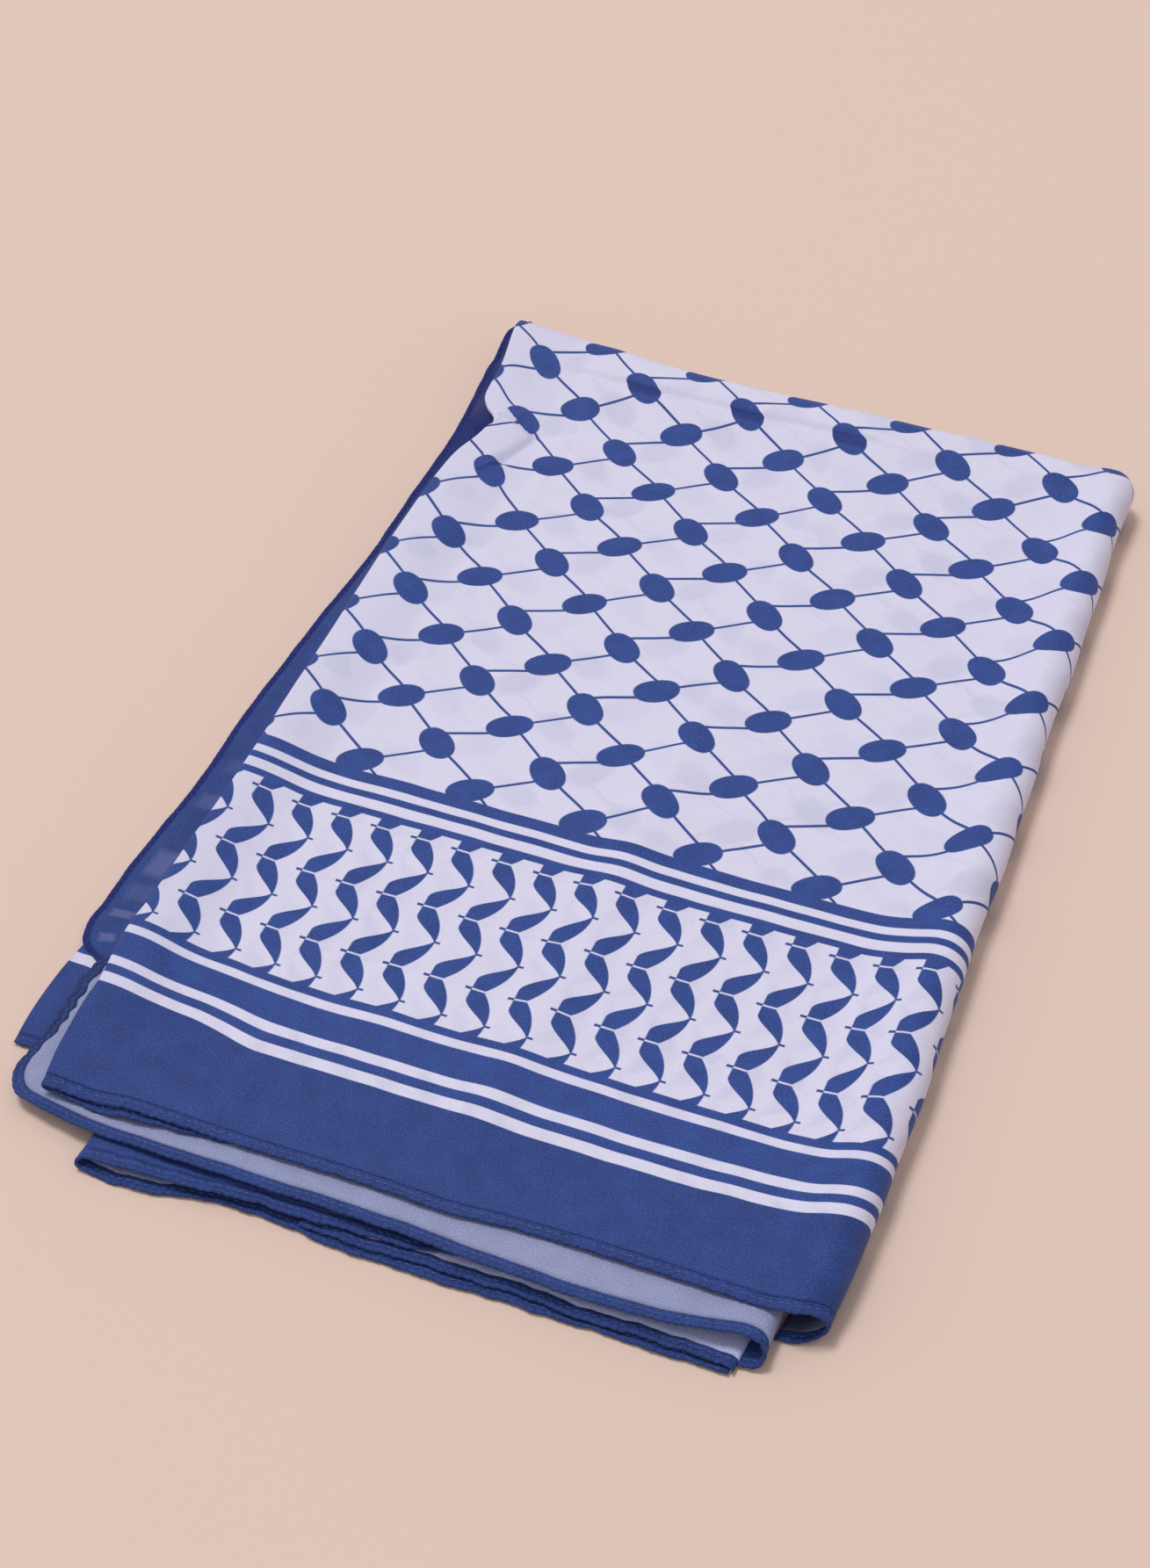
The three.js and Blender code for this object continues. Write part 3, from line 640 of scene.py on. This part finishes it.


# Painted shade on the blue along the crease before the far fold.
FAR_FOLD_PAINTED_SHADE = ((-32, 228.6, 85, 3.6, 0.5, PAINTED_SHADE_BLUE),)
FACE = print_cloth("print_face", BLUE, WHITE, patches=FAR_FOLD_PAINTED_SHADE)
BACK = print_cloth("print_back", PALE, PALE_WHITE, contrast=0.42)
# On the side ply, by its walked length and its distance from the print's edge.
GLOWS = ((345, -227, 5, 6, 0.25), (384, -226, 9, 6, 0.42), (402, -226, 6, 7, 0.2),
         (416, -227, 3, 6, 0.5), (432, -228, 3, 4, 0.5), (322, -226, 5, 5, 0.15))
# The last patch paints shade over the far part of the side ply.
SIDE_PATCHES = [(*glow, SIDE_GLOW) for glow in GLOWS] + [(0, -226, 190, 60, 0.75, PAINTED_SHADE_BLUE)]
# The side ply's blue is a slightly shaded copy of the print's blue.
SIDE_FACE = print_cloth("print_side", shaded(BLUE, 0.98), WHITE, patches=SIDE_PATCHES)
HEM = hem_cloth("hem_cloth", BLUE)
# Painted shade: the side ply's hem has a deeper, bluer colour of its own and is painted deeper all
# along; the second ply's hem is painted deeper over its first 66 mm.
SIDE_HEM = hem_cloth("hem_side", srgb(34, 52, 148), deep_until=ALL_ALONG, sheen=0.02)
SECOND_HEM = hem_cloth("hem_second", BLUE, deep_until=66.0)
# The inside of the top ply, with painted shade deep in the right-hand roll.
INSIDE_PAINTED_SHADE = print_cloth("print_inside_painted_shade", PALE, PALE_WHITE, contrast=0.42,
                     patches=((150, -222, 26, 34, 0.9, shaded(PAINTED_SHADE_BLUE, 0.4)),
                              (205, -222, 20, 34, 0.8, shaded(PAINTED_SHADE_BLUE, 0.4))))
# The third ply's strip lies in shade; its wrong side here is a paler copy, painted light.
THIRD_BACK_PAINTED_LIGHT = print_cloth("print_third_painted_light", shaded(PALE, 1.75), PALE_WHITE, contrast=0.42)
SEWING = thread_material("thread", THREAD)
# The side ply's stitches: a dark copy of the thread, painted shade.
SHADED_SEWING = thread_material("thread_side_painted_shade", shaded(THREAD, 0.25))


# ---- plies and hems ----
# The hem's section from its seam (0) to its finished edge (1): half its thickness, with the
# groove that the stitches pull in.
HEM_SECTION = table(
    "at half", (0, 0.28), (0.08, 0.42), (0.2, 0.5), (0.33, 0.4), (0.42, 0.28), (0.51, 0.4),
    (0.63, 0.6), (0.75, 0.74), (0.86, 0.76), (0.94, 0.62), (0.985, 0.36), (1, 0))


def rolled_hem(name, inner, outer, node, cloth=HEM, sewing=SEWING):
    """A rolled hem between the line where its panel stops and its finished edge, and its
    stitches. The lines are in millimetres and pair up point by point."""
    walked = lengths(outer, 0)
    at = np.linspace(0, walked[-1], int(walked[-1] / HEM_STEP) + 1)
    inner, outer = resampled(inner, walked, at), resampled(outer, walked, at)
    walked = at
    along = np.gradient(inner + outer, axis=0)
    across = outer - inner
    slim = min(np.linalg.norm(across, axis=1).mean() / HEM_WIDTH, 1.0)
    normal = np.cross(across, along)
    normal /= -np.linalg.norm(normal, axis=1, keepdims=True)
    across = across / np.linalg.norm(across, axis=1, keepdims=True)
    phase = 2 * np.pi * walked / STITCH["pitch"]
    share = np.concatenate([HEM_SECTION["at"], HEM_SECTION["at"][-2:0:-1]])
    half = np.concatenate([HEM_SECTION["half"], -HEM_SECTION["half"][-2:0:-1]])
    from_end = np.minimum(walked, walked[-1] - walked)
    swell = 1 + 0.14 * np.sin(walked / 3.1) * np.sin(walked / 7.7)
    size = slim * smooth(from_end, -1.5, 3.5) * swell
    pucker = 1 + 0.15 * np.sin(phase[:, None] + 1.6 * share[None])
    pull = slim * share[None] ** 2
    scallop = (0.1 * np.sin(phase + 0.8) + 0.1 * np.sin(walked / 2.3))[:, None] * pull
    wave = (0.08 * np.sin(phase + 2.4) + 0.14 * np.sin(walked / 3.7))[:, None] * pull
    rings = (inner[:, None] + (outer - inner)[:, None] * share[None, :, None]
             + across[:, None] * scallop[:, :, None]
             + normal[:, None] * (half[None] * pucker * size[:, None] + wave)[:, :, None])
    count, sides = rings.shape[:2]
    points = np.concatenate([rings.reshape(-1, 3), rings[0].mean(0)[None], rings[-1].mean(0)[None]])
    faces = []
    for k in range(sides):
        n = (k + 1) % sides
        ring = np.arange(count - 1) * sides
        faces += np.stack([ring + k, ring + sides + k, ring + sides + n, ring + n], -1).tolist()
        last = (count - 1) * sides
        faces += [[count * sides, k, n], [count * sides + 1, last + n, last + k]]
    cloth_at = np.stack(np.broadcast_arrays(walked[:, None], (share * HEM_WIDTH)[None]), -1)
    cloth_at = np.concatenate([cloth_at.reshape(-1, 2), [[0, 0], [walked[-1], 0]]])
    piece = new_piece(name, points, np.array(faces, object), cloth_at)
    piece.data.materials.append(cloth)
    stands_for(piece, node)
    return [piece] + [stitches(f"{name}_stitches_{side}", inner, outer, up, walked, slim, sewing)
                      for side, up in (("above", normal), ("below", -normal))]


def stitches(name, inner, outer, normal, walked, slim, sewing):
    """A row of lockstitches on a hem, as short round threads that dip at both ends."""
    line = inner + (outer - inner) * STITCH["at"]
    half = np.interp(STITCH["at"], HEM_SECTION["at"], HEM_SECTION["half"])
    lift = slim * half + STITCH["proud"]
    count = int(walked[-1] / STITCH["pitch"]) - 1
    nudge = 0.25 * np.sin(np.arange(count) * 2.3)
    starts = (np.arange(count) + 0.6) * STITCH["pitch"] + nudge
    t = np.linspace(0, 1, 7)
    at = starts[:, None] + t[None] * STITCH["length"]
    middle, up = resampled(line, walked, at), resampled(normal, walked, at)
    middle = middle + up * (lift + 0.3 * np.sin(np.pi * t) - 0.3)[None, :, None]
    along = np.gradient(middle, axis=1)
    along /= np.linalg.norm(along, axis=2, keepdims=True)
    side = np.cross(along, up)
    sides = STITCH["sides"]
    angles = np.linspace(0, 2 * np.pi, sides, endpoint=False)
    radius = STITCH["radius"] * np.sqrt(np.maximum(1 - (2 * t - 1) ** 4, 0.04))
    ring = (side[:, :, None] * np.cos(angles)[None, None, :, None]
            + up[:, :, None] * np.sin(angles)[None, None, :, None]) * radius[None, :, None, None]
    points = (middle[:, :, None] + ring).reshape(-1, 3)
    one = [(i * sides + k, i * sides + n, (i + 1) * sides + n, (i + 1) * sides + k)
           for i in range(len(t) - 1) for k in range(sides) for n in [(k + 1) % sides]]
    per = len(t) * sides
    faces = (np.array(one)[None] + (np.arange(count) * per)[:, None, None]).reshape(-1, 4).tolist()
    for c in range(count):
        faces.append([c * per + k for k in reversed(range(sides))])
        faces.append([c * per + per - sides + k for k in range(sides)])
    piece = new_piece(name, points, np.array(faces, object), points[:, :2].copy())
    piece.data.materials.append(sewing)
    stands_for(piece)
    return piece


SOFTLY_UNEVEN = ripple((0.3, 41, 0.4), (0.22, 17, 1.9), (0.14, 9, 3.0))
NEARLY_STRAIGHT = ripple((0.25, 83, 0.4), (0.08, 29, 1.9))


def ply(name, edge, back, nodes, wrong_side_up, settle=None, depth=2.5, rests=(),
        uneven=SOFTLY_UNEVEN, printed_at=-238.0, face=None, hem_width=HEM_WIDTH, **hem_looks):
    """One ply that shows at the packet's edge: its panel and its rolled hem. edge is its
    finished edge and back the line where it ends inside the packet."""
    both = even(np.concatenate([edge, back], 1), 1.6)
    edge, back = both[:, :3], both[:, 3:]
    walked = lengths(edge, 0)
    inward = back - edge
    reach = np.linalg.norm(inward, axis=1, keepdims=True)
    inward = inward / reach
    edge = edge + inward * uneven(walked)[:, None]

    def line(distance):
        points = edge + inward * distance
        return settle(points) if settle else points

    rows = max(int(reach.mean() / depth), 3)
    distances = [lerp(hem_width - SEAM, reach, i / rows) for i in range(rows + 1)]
    points = np.stack([line(d) for d in distances])
    from_edge = np.stack([np.broadcast_to(d, reach.shape)[:, 0] for d in distances])
    cloth_at = np.stack([np.broadcast_to(walked, from_edge.shape), from_edge + printed_at], -1)
    panel = new_piece(name, points.reshape(-1, 3), grid_faces(*points.shape[:2]),
                      cloth_at.reshape(-1, 2))
    shell(panel, face or (BACK if wrong_side_up else FACE), FACE if wrong_side_up else BACK)
    stands_for(panel, nodes[0])
    hems = rolled_hem(name + "_hem", line(hem_width), line(0), nodes[1], **hem_looks)


# ---- top ply ----
PACKET_LENGTH = 246 + 237.5
HEM_SHARE = HEM_WIDTH / PACKET_LENGTH
LIP_POINTS = 8
# How the roll's hem draws back at its side, leans out below and goes on under, in three steps.
OPEN_END = {"back": 4.3, "lean": 2.6, "under": 2.3}
UNDER_ROWS, UNDER_STEP = 3, 4.0     # of the strip that the far fold turns under the packet


def far_turn(points, degrees, middle, reach):
    """Turns a line of points down over the far fold, about its middle height."""
    a = math.radians(degrees)
    turned = points.copy()
    turned[:, 1] += FAR_ROLL * math.sin(a) * reach
    turned[:, 2] = middle + (points[:, 2] - middle) * math.cos(a)
    return turned


def top_line(share):
    """One line across the top ply: left lip, top, right-hand roll and a strip underneath."""
    left = left_at(lengthwise(LEFT, share))
    crest = crest_at(lengthwise(RIGHT, share))
    floor = lerp(ON_TABLE, 0.4, smooth(share, HEM_SHARE, FRONT_SHARE))
    lip = np.radians(np.linspace(180, 18, LIP_POINTS))
    inner = spaced((0, 0.9), (30, 1.3), (45, 2.6), (300, 0)) / 300
    x = np.concatenate([left + FOLD_LIP - FOLD_LIP * np.sin(lip),
                        lerp(left + FOLD_LIP, crest, inner)])
    drop = np.concatenate([FOLD_LIP * (1 - np.cos(lip)), np.zeros(len(inner))])
    y = lengthwise(x, share)
    top = xyz(x, y, top_height(x, y) - drop)
    high = top[-1, 2]
    radius = (high - floor) / 2
    turn = np.radians(np.linspace(0, 180, 19)[1:])
    bulge = ripple((0.5, 133, 1.0), (0.3, 61, 2.0))(top[-1, 1])
    roll_x = crest + (ROLL - 0.6 + bulge) * np.sin(turn)
    near = 1 - smooth(share, HEM_SHARE, 0.1)
    shift = OPEN_END["back"] * np.sin(turn) - OPEN_END["lean"] * (1 - np.cos(turn)) / 2
    roll = xyz(roll_x, y[-1] + near * shift, floor + radius * (1 + np.cos(turn)))
    steps = np.array([1, 2, 3])
    under = xyz(crest - lerp(3.0, OPEN_END["under"], near) * steps,
                roll[-1, 1] - 0.3 * near * steps, floor)
    reach = np.concatenate([np.ones(len(x)), np.abs(np.cos(turn)), np.ones(3)])
    return np.concatenate([top, roll, under]), reach, len(x)


def cloth_places(points, flat, top_rows):
    """Where the top ply's points are on the cloth: as they lie on top, and by walking along the
    cloth down the left lip, the right-hand roll and the far fold."""
    u, v = lengths(points, 1), lengths(points, 0)
    x, y = points[:, LIP_POINTS, 0] - u[:, LIP_POINTS], points[:top_rows, :, 1]
    past = x[:, None] + u
    past[:, LIP_POINTS:flat] = points[:, LIP_POINTS:flat, 0]
    past[:, flat:] = points[:, flat - 1, 0, None] + u[:, flat:] - u[:, flat - 1, None]
    last = top_rows - 1
    v = np.concatenate([y, y[-1] + v[top_rows:] - v[last]])
    past[top_rows:] = past[last]
    # The print slides where the cloth is pulled: at the stripes' ends, the pinch, the roll and
    # the far corner.
    slide_x = (4.0 * smooth(v, 165, 245) + 3.6 * smooth(v, 190, 235) * smooth(-past, 20, 125)
               + 1.0 * smooth(past, 130, 160) - 1.5 * smooth(past, 152, 172) * smooth(-v, 90, 120)
               + 1.4 * smooth(-past, 135, 155) * smooth(v, 200, 222))
    pinched = (np.interp(v, [110, 150, 192, 234], [0, 1, 1, 0])
               * np.interp(-past, [104, 129], [0, 1]))
    far_row = np.interp(past, [-140, -102, -50, 0], [-5.0, -1.8, -0.6, 1.3]) * smooth(v, 198, 232)
    far_corner = smooth(-past, 135, 155) * bump(v - 224, 22)
    slide_y = (far_row - 5.5 * pinched - 6.0 * far_corner
               - smooth(-past, 72, 104) * np.interp(-v, [120, 165, 200], [0, 1.4, 5.6])
               - smooth(past, 105, 125) * np.interp(-v, [130, 165, 200], [0, -0.7, 2.0])
               - smooth(past, 158, 180) * np.interp(-v, [60, 120, 165, 200], [0, 2.2, 3.6, 5.0]))
    for side, ends, step, reach, hidden in pleats(points[..., 0], points[..., 1]):
        low = ends * np.where(side <= 0, np.exp(side / PLEAT_STRETCH), 0)
        low[top_rows:] = 0
        slide_x, slide_y = slide_x + hidden[0] * low, slide_y + hidden[1] * low
    return past + slide_x, v + slide_y


def top_ply():
    """The ply that shows, from its hem over the far fold and round the right-hand roll."""
    shares = spaced((HEM_WIDTH - SEAM, 1.2), (20, 2.8), (382, 1.0), (402, 2.2), (418, 0.8),
                    (436, 1.5), (PACKET_LENGTH, 0))
    shares = shares / PACKET_LENGTH
    lines, kept = [], []
    for share in shares:
        line, reach, flat = top_line(share)
        lines.append(line)
        kept.append(np.ones(len(line), bool))
    last = lines[-1]
    on_top = np.arange(len(last)) < flat
    middle = np.where(on_top, last[:, 2], last[flat - 1, 2]) / 2
    for degrees in range(10, 181, 10):
        lines.append(far_turn(last, degrees, middle + 0.2, reach))
        kept.append(on_top | (degrees <= 90))
    for _ in range(UNDER_ROWS):
        lines.append(lines[-1] - [0, UNDER_STEP, 0])
        kept.append(on_top)
    points = settle_on_floor(np.stack(lines), 0.3)
    kept = np.stack(kept)
    keep = kept[:-1, :-1] & kept[1:, :-1] & kept[:-1, 1:] & kept[1:, 1:]
    u, v = cloth_places(points, flat, len(shares))
    piece = new_piece("top_ply", points.reshape(-1, 3), grid_faces(*u.shape, keep=keep),
                      np.stack([u, v], -1).reshape(-1, 2))
    weld(piece)
    shell(piece, FACE, INSIDE_PAINTED_SHADE)
    stands_for(piece, "top_panel")

    inner = even(top_line(HEM_SHARE)[0], 1.5)
    outer = even(top_line(0.0)[0], 1.5)
    at = np.linspace(0, 1, len(outer))
    inner = resampled(inner, np.linspace(0, 1, len(inner)), at)
    hems = rolled_hem("top_ply_hem", inner, outer, "top_hem")


top_ply()


# ---- plies at the edges ----
def second_height(x, y):
    forward = np.clip((SECOND_ROLL["back"] - y) / 45, 0, 1)
    backs = [SECOND[key][SECOND_SIDE_ROWS:] for key in ("x_back", "z_back")]
    fronts = [SECOND[key][SECOND_CORNER_ROWS:] for key in ("x", "z")]
    return lerp(np.interp(x, *backs), np.interp(x, *fronts), forward)


def shoulder_at(y):
    return left_at(y) + 0.02 * (crest_at(y) - left_at(y))


def core_top(x, y):
    """Height of the hidden plies, below whichever plies lie over them."""
    crest = crest_at(y)
    room = (0.4 + 2.1 * smooth(-y, 128, 142) * smooth(-x, 40, 54) + 2.8 * smooth(-x, 112, 124)
            + 0.6 * smooth(x, crest - 40, crest - 28))
    free = plain_height(x, y) + np.minimum(relief(x, y), 0) - 0.9 - room
    second = second_height(x, y) - 0.9
    under_second = np.maximum(smooth(-y, 180, 192), smooth(-y, 158, 168) * smooth(-x, 118, 126))
    near = np.where(x < 0, np.minimum(second, 4 + 0.2 * (x - LEFT)), second)
    return np.minimum(free, lerp(free, near, under_second))


def side_drop(x, y, reach=0.0):
    slope = read(CORE, "y", "slope", y) + reach
    return 1 - np.clip((shoulder_at(y) - x) / slope, 0, 1) ** SLOPE_CURVE


FAR_END_HEIGHT = 11.0   # of the side ply, where it tucks in at the far fold


def on_shoulder(points):
    """Lays the side ply on the left shoulder of the hidden plies and on the table."""
    x, y = points[:, 0], points[:, 1]
    clear = 2.0
    floor = ON_TABLE + 1.6 * smooth(-y, 142, 158)
    shoulder = shoulder_at(y)
    inside = core_top(np.maximum(x, shoulder), y) + clear
    outside = floor + (core_top(shoulder, y) + clear - floor) * side_drop(x, y, 1.6)
    soft = 0.35 * np.sin(y / 13 + 1) + 0.25 * np.sin(y / 7.3 + x / 5)
    lying = smooth(shoulder - x, 10, 18)
    z = np.where(x > shoulder, inside, outside) + soft * (1 - lying) * smooth(shoulder - x, 0, 5)
    z = lerp(z, np.maximum(z, FAR_END_HEIGHT), smooth(y, 246, 262))
    return xyz(x, y, z)


def second_ply():
    columns, roll = list(SECOND.values()), SECOND_ROLL
    edge, back = xyz(*columns[:3]), xyz(*columns[3:])
    high, middle = edge[-1, 2], ON_TABLE + roll["lift"] + roll["radius"]
    a = np.radians(np.arange(0, 181, 30))
    top = lerp(high, middle + roll["radius"], np.minimum(np.degrees(a) / 60, 1))
    z = np.where(a < math.pi / 2 - 0.01, lerp(middle, top + roll["lift"], np.cos(a)),
                 middle + roll["radius"] * np.cos(a))
    x = roll["x"] + roll["out"] * np.sin(a)
    y = roll["front"] - roll["lean"] * (1 - np.cos(a)) / 2
    x, y, z = np.append(x, x[-1] - roll["under"]), np.append(y, y[-1] - 0.8), np.append(z, z[-1])
    edge = np.concatenate([edge, xyz(x, y, z)])
    back = np.concatenate([back, xyz(x, roll["back"], z)])

    def gathered(walked):
        side = 1 - smooth(walked, 48, 66)
        return (0.6 * side * np.sin(walked / 1.35 + np.sin(walked / 5))
                + 0.16 * np.sin(walked / 6.3) + 0.08 * np.sin(walked / 2.9))

    ply("second_ply", edge, back, ("second_panel", "second_hem"), True, rests=["hidden_plies"],
        uneven=gathered, cloth=SECOND_HEM)


def side_ply():
    edge, back = xyz(SIDE["x"], SIDE["y"], 0), xyz(SIDE["x_back"], SIDE["y_back"], 0)
    ply("side_ply", edge, back, ("side_panel", "side_hem"), False, settle=on_shoulder,
        rests=["hidden_plies"], uneven=NEARLY_STRAIGHT, face=SIDE_FACE,
        hem_width=SIDE_HEM_WIDTH, cloth=SIDE_HEM, sewing=SHADED_SEWING)


def with_back(edge):
    """A front edge and the line straight behind it where the hidden plies start."""
    back = edge.copy()
    back[:, 1] = lengthwise(edge[:, 0], FRONT_SHARE) - 0.3
    return edge, back


def third_ply():
    edge, back = with_back(xyz(*THIRD.values()))
    back[:, 0] += 3 * smooth(edge[:, 0], 130, 138)
    ply("third_ply", edge, back, ("third_panel", "third_hem"), True, rests=["lowest_panel"],
        face=THIRD_BACK_PAINTED_LIGHT)


def lowest_ply():
    loop = LOWEST_LOOP
    upper, lower = xyz(*UPPER_LEG.values()), xyz(*LOWER_LEG.values(), ON_TABLE)
    a = np.radians(np.arange(30, 151, 30))
    turn = xyz(loop["x"] - loop["out"] * loop["radius"] * np.sin(a),
               lerp(upper[-1, 1], lower[0, 1], a / math.pi),
               ON_TABLE + loop["radius"] * (1 + np.cos(a)))
    edge, back = with_back(np.concatenate([upper, turn, lower])[::-1])
    ply("lowest_ply", edge, back, ("lowest_panel", "lowest_hem"), False)


def flap_ply():
    y, left, right = FLAP.values()
    share = np.linspace(0, 1, 6)
    front = xyz(lerp(left[0], right[0], share), y[0], ON_TABLE)
    back = xyz(lerp(left[-1], right[-1], share), y[-1], 0.6)

    def settle(points):
        share = np.linspace(0, 1, len(points))
        points = points.copy()
        points[:, 0] = lerp(read(FLAP, "y", "left", points[:, 1]),
                            read(FLAP, "y", "right", points[:, 1]), share)
        points[:, 2] = ON_TABLE + 0.5 * smooth(points[:, 1], -212, -180)
        return points

    ply("flap_ply", front, back, ("flap_panel", "flap_hem"), False, settle=settle,
        printed_at=-243.0)


def tucked_ply():
    share = np.linspace(0, 1, 24)
    hem_y = hem_at(0)
    x = lerp(left_at(hem_y) + TUCK["inset"], TUCK["right"], share)
    passes = TUCK["reach"] * (smooth(share, -0.1, 0.3) - 1.9 * smooth(share, 0.35, 1))
    edge = xyz(x, hem_at(x) - passes, 0)
    back_x = lerp(left_at(TUCK["back"]) + TUCK["inset"], TUCK["right"], share)
    back = xyz(back_x, TUCK["back"], 0)

    def settle(points):
        x, y = points[:, 0], points[:, 1]
        front = hem_at(x)
        below = lerp(TUCK["below_hem"], TUCK["below"], smooth(y, front, front + 1.5 * HEM_WIDTH))
        return xyz(x, y, top_height(x, y) - below)

    ply("tucked_ply", edge, back, ("tucked_panel", "tucked_hem"), True, settle=settle)


second_ply()
side_ply()
third_ply()
lowest_ply()
flap_ply()
tucked_ply()


# ---- hidden plies ----
INNER = table("share inset front", (0.97, 0, 0), (0.8, 1.4, 2.6), (0.64, 2.8, 1.2))
ACROSS, ALONG = 46, 90  # points across each of their layers and lines along the packet


def hidden_plies():
    """The plies folded away inside: sheets nested in each other, open at the front and left."""
    points, cloth, faces = [], [], []
    start = 0
    for share, inset, front in zip(*INNER.values()):
        lines = []
        for along in np.linspace(FRONT_SHARE, 0.995, ALONG):
            left_y = lengthwise(LEFT, along)
            left = shoulder_at(left_y)
            right = read(CORE, "y", "right", lengthwise(RIGHT, along)) - 8 - 1.5 * inset
            slope = read(CORE, "y", "slope", left_y) * 0.9
            x = np.linspace(left, right, ACROSS)
            forward = front * (1 - smooth(along, 0, 0.1))
            y = lengthwise(x, along) + forward
            high = core_top(x, y) - inset
            outer = left - slope * (1 - share) ** (1 / SLOPE_CURVE)
            top = xyz(np.append(outer, x), np.append(y[0], y), np.append(high[0], high) * share)
            floor = 0.35 + inset * 1.1
            radius = (top[-1, 2] - floor) / 2
            a = np.radians(np.linspace(0, 180, 9)[1:-1])
            roll = xyz(right + min(radius, 6) * np.sin(a), y[-1], floor + radius * (1 + np.cos(a)))
            low_left = left - slope * share ** (1 / SLOPE_CURVE) + 1.5 * inset
            low_x = np.linspace(right, low_left, ACROSS)
            bottom = xyz(low_x, lengthwise(low_x, along) + forward, floor)
            lines.append(np.concatenate([top, roll, bottom]))
        last = lines[-1]
        middle = (core_top(last[:, 0], last[:, 1]) * share + floor) / 2
        for degrees in (20, 40, 60, 75, 90):
            lines.append(far_turn(last, degrees, middle, 0.85 - 0.09 * inset))
        grid = settle_on_floor(np.stack(lines), 0.3)
        u, v = lengths(grid, 1), lengths(grid, 0)
        points.append(grid.reshape(-1, 3))
        cloth.append(np.stack([u - 150, v - 232], -1).reshape(-1, 2))
        faces.append(grid_faces(*u.shape, start=start))
        start += u.size
    piece = new_piece("inner_plies", *map(np.concatenate, (points, faces, cloth)))
    shell(piece, BACK, FACE, 0.6)
    stands_for(piece, "hidden_plies")


hidden_plies()


# ---- floor, light and camera ----
SUN_FROM = (-0.32, 0.16, 1.0)
SUN_STRENGTH, AMBIENT = 1.46, 0.55


def studio():
    """A plain matte surface under soft light from the upper left."""
    bpy.ops.mesh.primitive_plane_add(size=70, location=(0, 0, -0.0003))
    floor = bpy.context.object
    floor.name = "floor"
    material = bpy.data.materials.new("floor")
    material.use_nodes = True
    shader = material.node_tree.nodes["Principled BSDF"]
    put(shader, {"Base Color": srgb(223, 200, 189), "Roughness": 0.8, "Specular IOR Level": 0.1})
    floor.data.materials.append(material)

    world = bpy.data.worlds.new("studio")
    bpy.context.scene.world = world
    world.use_nodes = True
    put(world.node_tree.nodes["Background"], {"Color": srgb(255, 248, 243), "Strength": AMBIENT})

    light = bpy.data.lights.new("key", "SUN")
    light.energy, light.angle, light.color = SUN_STRENGTH, math.radians(18), (1.0, 0.985, 0.98)
    aim = (-Vector(SUN_FROM)).to_track_quat("-Z", "Y").to_euler()
    add_object("key", light).rotation_euler = aim

    window = bpy.data.lights.new("window", "AREA")
    window.size, window.energy = 1.6, 1.0
    add_object("window", window).location = (-1.2, 0.0, 1.2)


def camera():
    """The camera: in front to the right, looking down at 45 degrees."""
    data = bpy.data.cameras.new("camera")
    data.sensor_fit = "VERTICAL"
    data.sensor_height = 36
    data.lens = 67.08
    data.clip_start = 0.01
    eye = add_object("camera", data)
    right = Vector((0.9218, 0.3863, -0.0331)).normalized()
    backward = Vector((0.2937, -0.6397, 0.7103)).normalized()
    up = backward.cross(right).normalized()
    turn = Matrix((right, up, backward)).transposed().to_4x4()
    place = Vector((0.3439, -0.8022, 0.8801)) + Vector(SHIFT * MM)
    eye.matrix_world = Matrix.Translation(place) @ turn
    bpy.context.scene.camera = eye


studio()
camera()
bpy.context.scene.view_settings.view_transform = "Standard"
